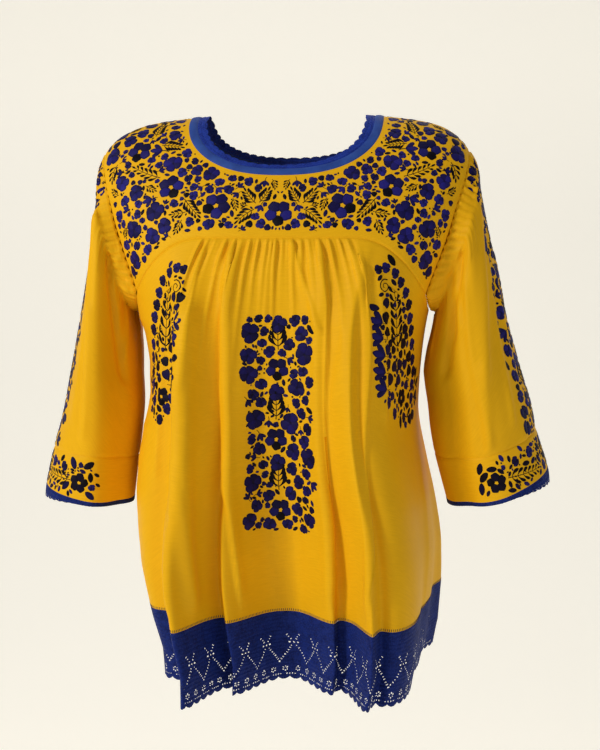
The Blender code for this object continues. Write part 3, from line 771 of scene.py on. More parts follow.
def armhole_ring(side, yokes, panels):
    """The armhole as a ring: from the shoulder down the front of the yoke, under the arm and up the back."""
    edges = []
    for yoke, panel in zip(yokes, panels):
        last, first = yoke.grid[-1], panel.grid[0]
        if side > 0:
            last, first = last[::-1], first[::-1]
        near = slice(UNDERARM_COLUMNS - 1, None, -1)
        tip = np.interp(YOKE_TIP_X, np.abs(first[near, 0]), arc_shares(first)[near])
        under = along(first, np.linspace(tip, 0, SIDE_STEPS + 1))
        edges.append(np.concatenate([last[:YOKE_ARMHOLE_STEPS + 1], under[1:]]))
    return np.concatenate([edges[0], edges[1][-2:0:-1]])


def sleeve_ring(side, row, count):
    """A ring of a sleeve at a fractional row of SLEEVE, with its folds."""
    outer_x, outer_z, inner_x, inner_z, depth, middle_y, drop, *more = read_rows(SLEEVE, row)
    outer_out, inner_out, outer_up, inner_up, drop_more = more
    psi = 2 * math.pi * np.arange(count) / count
    outer = np.array([side * outer_x + outer_out, middle_y, outer_z + side * outer_up])
    inner = np.array([side * inner_x + inner_out, middle_y, inner_z + side * inner_up])
    half = (outer - inner) / 2
    forward = np.array([0.0, -depth, -(drop + side * drop_more)])
    cosine, sine = np.cos(psi)[:, None], np.sin(psi)[:, None]
    ring = (outer + inner) / 2 + cosine * half + sine * forward
    down = row / SLEEVE_SEAM_ROW
    for at_top, at_seam, top_height, seam_height, width in SLEEVE_FOLDS["left" if side < 0 else "right"]:
        offset = (np.degrees(psi) - at_top - (at_seam - at_top) * down + 180) % 360 - 180
        height = (top_height + (seam_height - top_height) * min(down, 1)) * np.exp(-((offset / width) ** 2))
        ring = ring + height[:, None] * (cosine * half / np.linalg.norm(half) + sine * forward / depth)
    return ring


def sleeve_cloth(side, start):
    """A sleeve from the armhole down to the seam of its band."""
    count = len(start)
    rings = [sleeve_ring(side, row, count) for row in range(SLEEVE_SEAM_ROW + 1)]
    head = start * SLEEVE_HEAD_SHARE + rings[0] * (1 - SLEEVE_HEAD_SHARE)
    head = head + np.array([side * SLEEVE_HEAD_OUT, 0, 0])
    control = np.array([start, head, *rings]).reshape(len(rings) + 2, -1)
    at = np.linspace(0, 1, SLEEVE_ROWS + 1) ** SLEEVE_ROW_SPACING * (len(control) - 1)
    return Cloth(read_rows(control, at).reshape(len(at), count, 3), side, True)


def tube_cloth(side, first, last, rows, count):
    """A piece of sleeve between two rows of SLEEVE."""
    rings = [sleeve_ring(side, row, count) for row in np.linspace(first, last, rows + 1)]
    return Cloth(np.array(rings), side, True)


def crease_height(cloth, top, low, rise, width_below, width_above):
    """The height of a soft ridge or trough along a line from one row and column to another."""
    rows = np.arange(cloth.rows)
    share = (rows - top[0]) / max(low[0] - top[0], 1)
    column = np.clip(top[1] + (low[1] - top[1]) * share, 0, cloth.columns - 1)
    centre = np.array([np.interp(c, np.arange(cloth.columns), line) for c, line in zip(column, cloth.across)])
    offset = cloth.across - centre[:, None]
    taper = smooth_step(share / CREASE_TAPER) * smooth_step((1 - share) / CREASE_TAPER)
    width = np.where(offset < 0, width_below, width_above)
    return rise * taper[:, None] * np.exp(-((offset / width) ** 2))


def add_creases(cloth, creases, facing=-1):
    """The creases that are placed one by one."""
    height = np.zeros((cloth.rows, cloth.columns))
    for x_top, z_top, x_low, z_low, *shape in creases:
        top, low = cloth.find(x_top, z_top, facing), cloth.find(x_low, z_low, facing)
        height += crease_height(cloth, top, low, *shape)
    cloth.raise_by(height)


def add_wrinkles(cloth, seed, count, lean, strength):
    """Faint long wrinkles all over a piece, each a low ridge with a shallow trough at its side."""
    random = np.random.default_rng(seed)
    height = np.zeros((cloth.rows, cloth.columns))
    size = np.array([cloth.rows - 1, cloth.columns - 1])
    for _ in range(count):
        start = random.uniform(*WRINKLE_STARTS) * size
        way = (random.uniform(*WRINKLE_LENGTHS), random.normal(0.0, lean)) * size
        rise, width = strength * random.uniform(*WRINKLE_RISES), random.uniform(*WRINKLE_WIDTHS)
        height += crease_height(cloth, start, start + way, rise, width * WRINKLE_STEEP_SIDE, width)
        aside = start + (0, random.choice([-1, 1]) * TROUGH_AWAY * size[1])
        height += crease_height(cloth, aside, aside + way, -TROUGH_DEPTH * rise, width, width)
    cloth.raise_by(height)


def add_grooves(cloth, top, low):
    """Sinks the cloth along its first and last rows, as a seam does."""
    height = np.zeros((cloth.rows, cloth.columns))
    if top:
        height -= SEAM_DEPTH * np.exp(-((cloth.down / SEAM_WIDTH) ** 2))
    if low:
        height -= SEAM_DEPTH * np.exp(-(((cloth.down[-1] - cloth.down) / SEAM_WIDTH) ** 2))
    cloth.raise_by(height)


def sew(panel, yoke):
    """Moves the top edge of a body panel onto the edge of the yoke."""
    seam = yoke.grid[-1][YOKE_ARMHOLE_STEPS:-YOKE_ARMHOLE_STEPS]
    grid = panel.grid.copy()
    if seam[0, 0] > seam[-1, 0]:
        seam = seam[::-1]
    sewn = np.abs(grid[0, :, 0]) <= seam[-1, 0]
    for row, share in SEWN_SHARES:
        for k in (1, 2):
            moved = np.interp(grid[0, :, 0], seam[:, 0], seam[:, k]) - panel.grid[0, :, k]
            grid[row, :, k] += np.where(sewn, moved, 0) * share
    panel.set(grid)


def add_puckers(cloth, seed):
    """Fine gathers at the head of a sleeve."""
    number = np.arange(cloth.columns) / cloth.columns * PUCKERS
    gather = number.astype(int)
    random = np.random.default_rng(seed)
    depths = random.uniform(*PUCKER_DEPTHS, PUCKERS)[gather]
    reach = random.uniform(*PUCKER_LENGTHS, PUCKERS)[gather] * PUCKER_LENGTH
    wave = np.sin(2 * math.pi * number) * depths * PUCKER_DEPTH
    begun = 1 - np.exp(-cloth.down / PUCKER_START)
    cloth.raise_by(wave * begun * np.exp(-((cloth.down / reach) ** PUCKER_FADE)))


def wide_holes(length):
    """The holes of the wide crochet: across, down, half sizes and turn, for one panel of a length."""
    holes = []
    middle = (LADDER_TOP + LADDER_LOW) / 2
    tall = LADDER_LOW - LADDER_TOP
    slope = math.degrees(math.atan2(tall, LADDER_PERIOD / 2))
    run = math.hypot(tall, LADDER_PERIOD / 2)
    number = int(run / LADDER_STEP)
    periods = round(length / LADDER_PERIOD)
    half_period = length / periods / 2
    for k in range(2 * periods):
        start = k * half_period
        for way in (1, -1):
            for step in range(1, number):
                share = step / number
                if abs(share - 0.5) * run < CROSS_CLEARANCE:
                    continue
                down = LADDER_TOP + share * tall if way > 0 else LADDER_LOW - share * tall
                holes.append((start + share * half_period, down, *SLOT, slope * way + 90))
        centre = start + half_period / 2
        holes.append((centre, middle, CROSS_HOLE, CROSS_HOLE, 0))
        for side in (-1, 1):
            holes.append((centre + side * SIDE_HOLE_AWAY, middle, *SIDE_HOLE, 0))
        for down in (LADDER_TOP, LADDER_LOW):
            holes.append((start, down, CROSS_HOLE, CROSS_HOLE, 0))
    eyelets = round(length / EYELET_STEP)
    for k in range(eyelets):
        centre = (k + 0.5) * length / eyelets
        for turn in range(30, 390, 60):
            across = centre + EYELET_RADIUS * math.cos(math.radians(turn))
            down = EYELET_DOWN + EYELET_RADIUS * math.sin(math.radians(turn))
            holes.append((across, down, *PETAL_HOLE, turn))
    holes = [hole for hole in holes if hole[1] > FIRST_HOLE]
    return holes + eyelet_row(length, EDGE_HOLES_DOWN, EDGE_HOLE_STEP, EDGE_HOLE)


def eyelet_row(length, down, step, half_sizes):
    """A row of small holes along a strip."""
    return [((k + 0.5) * step, down, *half_sizes, 0) for k in range(int(length / step))]


def lace_length(cloth):
    """The length of a strip along its top, in millimetres."""
    closing = np.linalg.norm(cloth.grid[0, 0] - cloth.grid[0, -1]) if cloth.ring else 0.0
    return float(cloth.across[0, -1] + closing) / MM


def scallops(across, down, length, width, period, depth, reach):
    """The places down a strip, with its lower edge drawn up into scallops and picots."""
    phase = across / length * max(1, round(length / period)) * math.pi
    dip = depth * (1 - np.abs(np.sin(phase))) ** SCALLOP_POWER
    dip = dip + PICOT_DEPTH * (1 - np.abs(np.sin(PICOTS * phase)))
    return down - dip * np.clip((down - (width - reach)) / reach, 0, 1)


def hole_distance(u, v, half_long, half_short, turn):
    """How far places are from the middle of a hole, where 1 is its rim."""
    cosine, sine = math.cos(math.radians(turn)), math.sin(math.radians(turn))
    return np.hypot((u * cosine + v * sine) / half_long, (v * cosine - u * sine) / half_short)


def cut_holes(across, down, holes, length, ring):
    """Marks the cells of a strip that lie in a hole, and moves the corners near it onto its rim."""
    count = across.shape[1]
    this = np.arange(count if ring else count - 1)
    after = (this + 1) % count
    columns = len(this)
    gone = np.zeros((len(across) - 1, columns), bool)
    mid_across = (across[:-1, this] + across[1:, this]) / 2 + length / columns / 2
    mid_down = (down[:-1, this] + down[1:, after]) / 2
    for x, y, *form in holes:
        cells = np.where(np.abs(this * length / columns - x) < HOLE_SEARCH)[0]
        if not len(cells):
            continue
        gone[:, cells] |= hole_distance(mid_across[:, cells] - x, mid_down[:, cells] - y, *form) < 1
        corners = np.unique(np.concatenate([cells, after[cells]]))
        u, v = across[:, corners] - x, down[:, corners] - y
        far = hole_distance(u, v, *form)
        rim = (far > HOLE_RIM[0]) & (far < HOLE_RIM[1])
        scale = 1 + (np.where(rim, 1 / np.maximum(far, 1e-6), 1) - 1) * HOLE_ROUNDING
        across[:, corners] = x + u * scale
        down[:, corners] = y + v * scale
    return gone


def add_lace(name, cloth, holes, material, make):
    """A strip of crochet with real holes and a scalloped lower edge."""
    rows, columns, relief, *scallop = make
    total = cloth.columns if cloth.ring else cloth.columns - 1
    length, width = lace_length(cloth), float(cloth.down[-1].mean()) / MM
    row = np.linspace(0, cloth.rows - 1, rows + 1)
    column = np.linspace(0, total, columns + 1)[: columns if cloth.ring else None]
    down, across = np.meshgrid(row / (cloth.rows - 1) * width, column / total * length, indexing="ij")
    down = scallops(across, down, length, width, *scallop)
    gone = cut_holes(across, down, holes, length, cloth.ring)
    points, _, _, normal = cloth.read(down / width * (cloth.rows - 1), across / length * total)
    ridge = np.sin(across / CROCHET_STITCH[0] * math.pi) * np.sin(down / CROCHET_STITCH[1] * math.pi)
    height = relief * (0.5 + 0.5 * ridge) * np.clip(down / CROCHET_START, 0, 1)
    points = points + normal * height[..., None]
    faces = grid_faces(*across.shape, cloth.ring, cloth.outward)[~gone.ravel()]
    piece = finished_mesh(name, sway(points).reshape(-1, 3), faces.tolist(), material)
    add_uv(piece, np.stack([across, down], -1).reshape(-1, 2) * MM)
    loose_vertices_removed(piece)
    return piece


def loose_vertices_removed(piece):
    """Takes out the vertices that no face uses."""
    made = bmesh.new()
    made.from_mesh(piece.data)
    bmesh.ops.delete(made, geom=[v for v in made.verts if not v.link_faces], context="VERTS")
    made.to_mesh(piece.data)
    made.free()


def finished_mesh(name, points, faces, material):
    """An object with smooth faces in the scene's collection."""
    mesh = bpy.data.meshes.new(name)
    mesh.from_pydata(np.asarray(points).tolist(), [], faces)
    mesh.shade_smooth()
    mesh.materials.append(material)
    piece = bpy.data.objects.new(name, mesh)
    bpy.context.scene.collection.objects.link(piece)
    return piece


def grid_faces(rows, columns, ring, outward):
    """Quads of a grid, wound so that they face outward."""
    i, j = np.meshgrid(np.arange(rows - 1), np.arange(columns if ring else columns - 1), indexing="ij")
    upper, lower, right = i * columns, (i + 1) * columns, (j + 1) % columns
    quads = np.stack([upper + j, upper + right, lower + right, lower + j], -1).reshape(-1, 4)
    return quads if outward > 0 else quads[:, ::-1]


def add_uv(piece, values):
    """Gives a mesh a UV map, from a pair of values for each vertex."""
    mesh = piece.data
    corners = np.zeros(len(mesh.loops), np.int64)
    mesh.loops.foreach_get("vertex_index", corners)
    layer = mesh.uv_layers.new(name="UVMap")
    layer.data.foreach_set("uv", np.asarray(values, np.float32)[corners].ravel())


def add_cloth(name, cloth, material):
    """One cloth surface as a mesh. Its UV map is its lengths across and down, in metres."""
    faces = grid_faces(cloth.rows, cloth.columns, cloth.ring, cloth.outward)
    piece = finished_mesh(name, sway(cloth.grid).reshape(-1, 3), faces.tolist(), material)
    add_uv(piece, np.stack([cloth.across, cloth.down], -1).reshape(-1, 2))
    return piece


def new_material(name):
    """A node material, with its node tree and its shader."""
    made = bpy.data.materials.new(name)
    made.use_nodes = True
    return made, made.node_tree, made.node_tree.nodes["Principled BSDF"]


def add_node(tree, kind, inputs=None, **settings):
    """A node of a kind, with its settings, and its inputs as values or as links."""
    node = tree.nodes.new("ShaderNode" + kind)
    for key, value in settings.items():
        setattr(node, key, value)
    for key, value in (inputs or {}).items():
        if isinstance(value, bpy.types.NodeSocket):
            tree.links.new(value, node.inputs[key])
        else:
            node.inputs[key].default_value = value
    return node


def add_ramp(tree, value, *stops):
    """A colour ramp over a value, from a position and a colour for each stop."""
    ramp = add_node(tree, "ValToRGB", {"Fac": value})
    elements = ramp.color_ramp.elements
    ends = (stops[0], stops[-1])
    for element, (position, _) in zip(elements, ends):
        element.position = position
    for element, (_, rgb) in zip(elements, ends):
        element.color = (*rgb, 1)
    for position, rgb in stops[1:-1]:
        elements.new(position).color = (*rgb, 1)
    return ramp.outputs["Color"]


def combined(tree, first, second, operation):
    """Two values, combined by an operation."""
    return add_node(tree, "Math", {0: first, 1: second}, operation=operation).outputs["Value"]


def finish_cloth(tree, shader, colour, relief, strength, depth, rough_by, rough, specular, sheen=None):
    """Gives a shader its colour, bump and roughness, its specular level, and its sheen if it has one."""
    tree.links.new(colour, shader.inputs["Base Color"])
    bump = add_node(tree, "Bump", {"Strength": strength, "Distance": depth, "Height": relief})
    tree.links.new(bump.outputs["Normal"], shader.inputs["Normal"])
    varied = add_node(tree, "MapRange", {"Value": rough_by, "To Min": rough[0], "To Max": rough[1]})
    tree.links.new(varied.outputs["Result"], shader.inputs["Roughness"])
    shader.inputs["Specular IOR Level"].default_value = specular
    if sheen:
        weight, roughness, tint = sheen
        shader.inputs["Sheen Weight"].default_value = weight
        shader.inputs["Sheen Roughness"].default_value = roughness
        shader.inputs["Sheen Tint"].default_value = (*tint, 1)


def cotton_material():
    """Bright yellow sateen-like cotton: a fine weave, slubs, and slow changes of shade."""
    made, tree, shader = new_material("yellow_cotton")
    place = add_node(tree, "TexCoord")
    threads = {"Vector": place.outputs["UV"], "Distortion": 1.2}
    warp = add_node(tree, "TexWave", {**threads, "Scale": 330.0, "Detail": 1.0}).outputs["Fac"]
    weft = add_node(tree, "TexWave", {**threads, "Scale": 300.0}, bands_direction="Y").outputs["Fac"]
    spread = add_node(tree, "Mapping", {"Vector": place.outputs["UV"], "Scale": (60.0, 700.0, 1.0)})
    slubs = {"Vector": spread.outputs["Vector"], "Scale": 1.0, "Detail": 3.0}
    slub = add_node(tree, "TexNoise", slubs).outputs["Fac"]
    clouds = {"Vector": place.outputs["Object"], "Scale": 9.0, "Detail": 4.0, "Roughness": 0.6}
    slow = add_node(tree, "TexNoise", clouds).outputs["Fac"]
    shade = combined(tree, slub, slow, "MULTIPLY")
    colour = add_ramp(tree, shade, (0.12, (0.80, 0.41, 0.003)), (0.42, (0.88, 0.47, 0.005)))
    relief = combined(tree, combined(tree, warp, weft, "ADD"), slub, "ADD")
    sheen = (0.03, 0.4, (1.0, 0.85, 0.4))
    finish_cloth(tree, shader, colour, relief, 0.12, 0.0002, slow, (0.52, 0.66), 0.12, sheen)
    return made


def crochet_material(name, light):
    """Matt royal-blue crochet cotton: rows of small stitches, with painted shade darkening the hollows
    between them.
    """
    made, tree, shader = new_material(name)
    place = add_node(tree, "TexCoord")
    stitches = {"Vector": place.outputs["UV"], "Scale": 520.0, "Randomness": 0.55}
    loops = add_node(tree, "TexVoronoi", stitches).outputs["Distance"]
    courses = {"Vector": place.outputs["UV"], "Scale": 75.0, "Distortion": 2.5}
    rows = add_node(tree, "TexWave", courses, bands_direction="Y").outputs["Fac"]
    clouds = {"Vector": place.outputs["Object"], "Scale": 120.0, "Detail": 3.0}
    slow = add_node(tree, "TexNoise", clouds).outputs["Fac"]
    # Painted shade: the colour darkens away from each loop's middle into the hollows between stitches, and
    # varies at random with the slow noise
    shade = combined(tree, loops, slow, "MULTIPLY")
    raised = (0.007 * light, 0.023 * light, 0.185 * light)
    painted_hollow_shade = (0.0030 * light, 0.009 * light, 0.085 * light)
    colour = add_ramp(tree, shade, (0.10, raised), (0.45, painted_hollow_shade))
    relief = combined(tree, rows, loops, "SUBTRACT")
    sheen = (0.04, 0.5, (0.45, 0.55, 1.0))
    finish_cloth(tree, shader, colour, relief, 0.6, 0.0006, slow, (0.62, 0.80), 0.14, sheen)
    return made


def thread_material():
    """Rayon embroidery thread: glossy satin stitches, near-black plum to royal blue by a tone on the mesh,
    which is darker on the rims as painted shade.
    """
    made, tree, shader = new_material("blue_thread")
    tone = add_node(tree, "Attribute", attribute_name="tone").outputs["Fac"]
    place = add_node(tree, "TexCoord").outputs["UV"]
    satin = {"Vector": place, "Scale": 420.0, "Distortion": 1.2, "Detail": 1.0}
    threads = add_node(tree, "TexWave", satin).outputs["Fac"]
    patch = add_node(tree, "TexNoise", {"Vector": place, "Scale": 260.0, "Detail": 2.0}).outputs["Fac"]
    varied = add_node(tree, "MapRange", {"Value": patch, "To Min": -0.12, "To Max": 0.12}).outputs["Result"]
    colour = add_ramp(
        tree,
        combined(tree, tone, varied, "ADD"),
        (0.05, (0.0020, 0.0007, 0.0030)),
        (0.30, (0.0035, 0.0020, 0.015)),
        (0.62, (0.0085, 0.0060, 0.080)),
        (0.95, (0.019, 0.016, 0.215)),
    )
    finish_cloth(tree, shader, colour, threads, 0.35, 0.0003, patch, (0.42, 0.58), 0.10)
    return made


def binding_material():
    """Smooth royal-blue bias binding with a faint diagonal weave."""
    made, tree, shader = new_material("blue_binding")
    place = add_node(tree, "TexCoord")
    turned = add_node(tree, "Mapping", {"Vector": place.outputs["UV"], "Rotation": (0.0, 0.0, 0.8)})
    bias = {"Vector": turned.outputs["Vector"], "Scale": 300.0, "Distortion": 1.5}
    weave = add_node(tree, "TexWave", bias).outputs["Fac"]
    clouds = {"Vector": place.outputs["Object"], "Scale": 70.0, "Detail": 3.0}
    slow = add_node(tree, "TexNoise", clouds).outputs["Fac"]
    colour = add_ramp(tree, slow, (0.35, (0.012, 0.045, 0.25)), (0.70, (0.022, 0.075, 0.34)))
    finish_cloth(tree, shader, colour, weave, 0.25, 0.0002, slow, (0.55, 0.70), 0.25)
    return made


class Shape:
    """A stitched shape in millimetres: points (x, y, height), a tone and a thread place for each, and faces.

    Its disks are the room that it takes up."""

    def __init__(self, points, tones, threads, faces, disks):
        self.points, self.tones, self.threads = np.asarray(points), np.asarray(tones), np.asarray(threads)
        self.faces, self.disks = faces, np.asarray(disks, float).reshape(-1, 3)

    def placed(self, x=0.0, y=0.0, turn=0.0, size=1.0, mirror=False):
        """A copy, mirrored, made larger, turned anticlockwise and moved."""
        cosine, sine = math.cos(math.radians(turn)), math.sin(math.radians(turn))
        flip = -1.0 if mirror else 1.0
        matrix = size * np.array([[cosine * flip, -sine], [sine * flip, cosine]])
        points = self.points.copy()
        points[:, :2] = self.points[:, :2] @ matrix.T + (x, y)
        disks = self.disks.copy()
        disks[:, :2] = self.disks[:, :2] @ matrix.T + (x, y)
        disks[:, 2] *= size
        faces = [face[::-1] for face in self.faces] if mirror else self.faces
        return Shape(points, self.tones, self.threads * size, faces, disks)


def joined(shapes):
    """Several shapes as one."""
    faces, start = [], 0
    for shape in shapes:
        faces += [tuple(k + start for k in face) for face in shape.faces]
        start += len(shape.points)
    return Shape(
        np.concatenate([shape.points for shape in shapes]),
        np.concatenate([shape.tones for shape in shapes]),
        np.concatenate([shape.threads for shape in shapes]),
        faces,
        np.concatenate([shape.disks for shape in shapes]),
    )


def layered(rims):
    """The points of several outlines, each at its own height."""
    return np.concatenate([np.column_stack([rim, np.full(len(rim), level)]) for rim, level in rims])


def pad(outline, rise, tone, disks):
    """A padded patch of satin stitch: a low dome over an outline that goes anticlockwise, with painted shade
    on its rim.
    """
    outline = np.asarray(outline, float)
    count = len(outline)
    centre = outline.mean(0)
    inner = centre + (outline - centre) * PAD_SHOULDER
    points = layered([(outline, PAD_EDGE), (inner, rise), (centre[None], rise * PAD_CROWN)])
    # The outline's ring is painted darker than the dome: painted shade on the rim
    tones = np.concatenate([np.full(count, tone * PAD_RIM_PAINTED_SHADE), np.full(count + 1, tone)])
    faces = [(k, (k + 1) % count, count + (k + 1) % count, count + k) for k in range(count)]
    faces += [(count + k, count + (k + 1) % count, 2 * count) for k in range(count)]
    return Shape(points, tones, points[:, :2], faces, disks)


def ribbon(line, widths, rise, tone, disks):
    """A raised strip of stitches along a line, such as a stem or a curved leaflet, with painted shade along
    both edges.
    """
    line, widths = np.asarray(line, float), np.asarray(widths, float)
    way = np.gradient(line, axis=0)
    way /= np.linalg.norm(way, axis=1, keepdims=True)
    aside = np.column_stack([-way[:, 1], way[:, 0]]) * widths[:, None] / 2
    count = len(line)
    length = np.concatenate([[0], np.cumsum(np.linalg.norm(np.diff(line, axis=0), axis=1))])
    points = layered([(line + aside, PAD_EDGE), (line, rise), (line - aside, PAD_EDGE)])
    # The two edges are painted darker than the middle: painted shade where the strip slopes away
    tones = np.repeat([tone * RIBBON_RIM_PAINTED_SHADE, tone, tone * RIBBON_RIM_PAINTED_SHADE], count)
    threads = np.concatenate([np.column_stack([length, across * widths]) for across in (0.5, 0.0, -0.5)])
    faces = []
    for k in range(count - 1):
        for low in (k, count + k):
            faces.append((count + low, count + low + 1, low + 1, low))
    return Shape(points, tones, threads, faces, disks)


def bow(length, bend, turn, count=6):
    """A line of a length that starts at the origin, heads along turn and curves by bend, both in degrees."""
    heading = np.radians(turn + bend * np.linspace(0, 1, count - 1))
    steps = np.column_stack([np.cos(heading), np.sin(heading)]) * length / (count - 1)
    return np.concatenate([[(0.0, 0.0)], np.cumsum(steps, axis=0)])


def disks_on(line, radius, every=2):
    """Disks along a line."""
    return [(x, y, radius) for x, y in line[::every]]


def leaf(length, width, tone, count=12):
    """A pointed leaf, from the origin up."""
    turn = np.linspace(0, 2 * math.pi, count, endpoint=False)
    x = width / 2 * np.sign(np.sin(turn)) * np.abs(np.sin(turn)) ** 1.25
    y = length / 2 * (1 - np.cos(turn))
    disks = [(0, length * share, width / 2 * 0.8) for share in (0.25, 0.5, 0.75)]
    return pad(np.column_stack([x, y]), 0.42, tone, disks)


def petal(length, width, tone, count=12):
    """A petal with a narrow foot at the origin and a round end, pointing up."""
    turn = np.linspace(0, 2 * math.pi, count, endpoint=False)
    y = length / 2 * (1 - np.cos(turn))
    x = width / 2 * np.sin(turn) * (0.45 + 0.75 * y / length)
    return pad(np.column_stack([x, y]), 0.45, tone, [(0, length * 0.55, width * 0.40)])


def pansy(radius, tone):
    """A large flower of five round scalloped lobes about a small open eye, the lowest lobe nearly black."""
    lobes = []
    for turn, size, rise, shade in PANSY_LOBES:
        outline = round_outline(radius * size, 20, 5, 0.13) + (0, radius * (1 - size))
        lobe = pad(outline, rise, tone * shade, [(0, radius * (1 - size), radius * size)])
        lobes.append(lobe.placed(turn=turn))
    return joined(lobes)


def round_outline(radius, count=10, lobes=0, depth=0.0):
    """A round outline, with lobes if wanted."""
    turn = np.linspace(0, 2 * math.pi, count, endpoint=False)
    reach = radius * (1 - depth * (0.5 - 0.5 * np.cos(lobes * turn)))
    return np.column_stack([reach * np.cos(turn), reach * np.sin(turn)])


def flower(radius, petals, tone):
    """A small flower of round petals, close together."""
    width = 2 * radius * math.sin(math.pi / petals) * 0.93
    parts = []
    for k in range(petals):
        one = petal(radius * PETAL_REACHES[k], width, tone * PETAL_TONES[k])
        parts.append(one.placed(turn=360 * k / petals + 6 * (-1) ** k))
    return joined(parts)


def tulip(size, tone):
    """A cup of three petals on a short stalk, pointing up."""
    parts = [
        leaf(size, size * 0.48, tone),
        petal(size * 0.92, size * 0.42, tone * 0.8).placed(turn=38),
        petal(size * 0.92, size * 0.42, tone * 0.8).placed(turn=-38),
        ribbon(bow(size * 0.55, 25, -90, 4), [0.7, 0.8, 0.7, 0.5], 0.35, 0.10, [(0, -size * 0.3, 0.5)]),
    ]
    return joined(parts)


def heart(size, tone):
    """A heart-shaped leaf, its tip down."""
    turn = np.linspace(0, 2 * math.pi, 14, endpoint=False)
    reach = size / 2
    for share, at in ((-0.34, math.pi / 2), (0.25, 3 * math.pi / 2)):
        apart = (turn - at + math.pi) % (2 * math.pi) - math.pi
        reach = reach * (1 + share * np.exp(-((apart / 0.5) ** 2)))
    outline = np.column_stack([reach * np.cos(turn), reach * np.sin(turn)])
    return pad(outline, 0.45, tone, [(0, 0, size * 0.45)])


def spray(length, pairs, bend, reach, tone):
    """A feathery spray: a thin stem with pairs of curved leaflets that get shorter towards the tip."""
    stem = bow(length, bend, 90 - bend / 2, 9)
    parts = [ribbon(stem, np.linspace(0.9, 0.5, 9), 0.35, 0.15, disks_on(stem, 0.8, 1))]
    for k in range(pairs):
        share = (k + 0.6) / (pairs + 0.3)
        x, y = (np.interp(share * 8, np.arange(9), stem[:, axis]) for axis in (0, 1))
        heading = 90 - bend / 2 + bend * share
        size = reach * (1.10 - 0.55 * share)
        for side in (-1, 1):
            line = bow(size, side * LEAFLET_BEND, heading + side * LEAFLET_TURN, len(LEAFLET_WIDTHS))
            widths = LEAFLET_WIDTHS * (0.4 + 0.6 * size / reach) * max(1.0, reach / BROAD_REACH)
            strip = ribbon(line, widths, 0.4, tone, disks_on(line, 0.75, 2))
            parts.append(strip.placed(x, y))
    tip = leaf(reach * 0.55, 2.2, tone * 1.5).placed(stem[-1, 0], stem[-1, 1], turn=bend / 2)
    return joined(parts + [tip])


def dot(radius, tone):
    """A knot."""
    return pad(round_outline(radius, 7), 0.4, tone, [(0, 0, radius)])


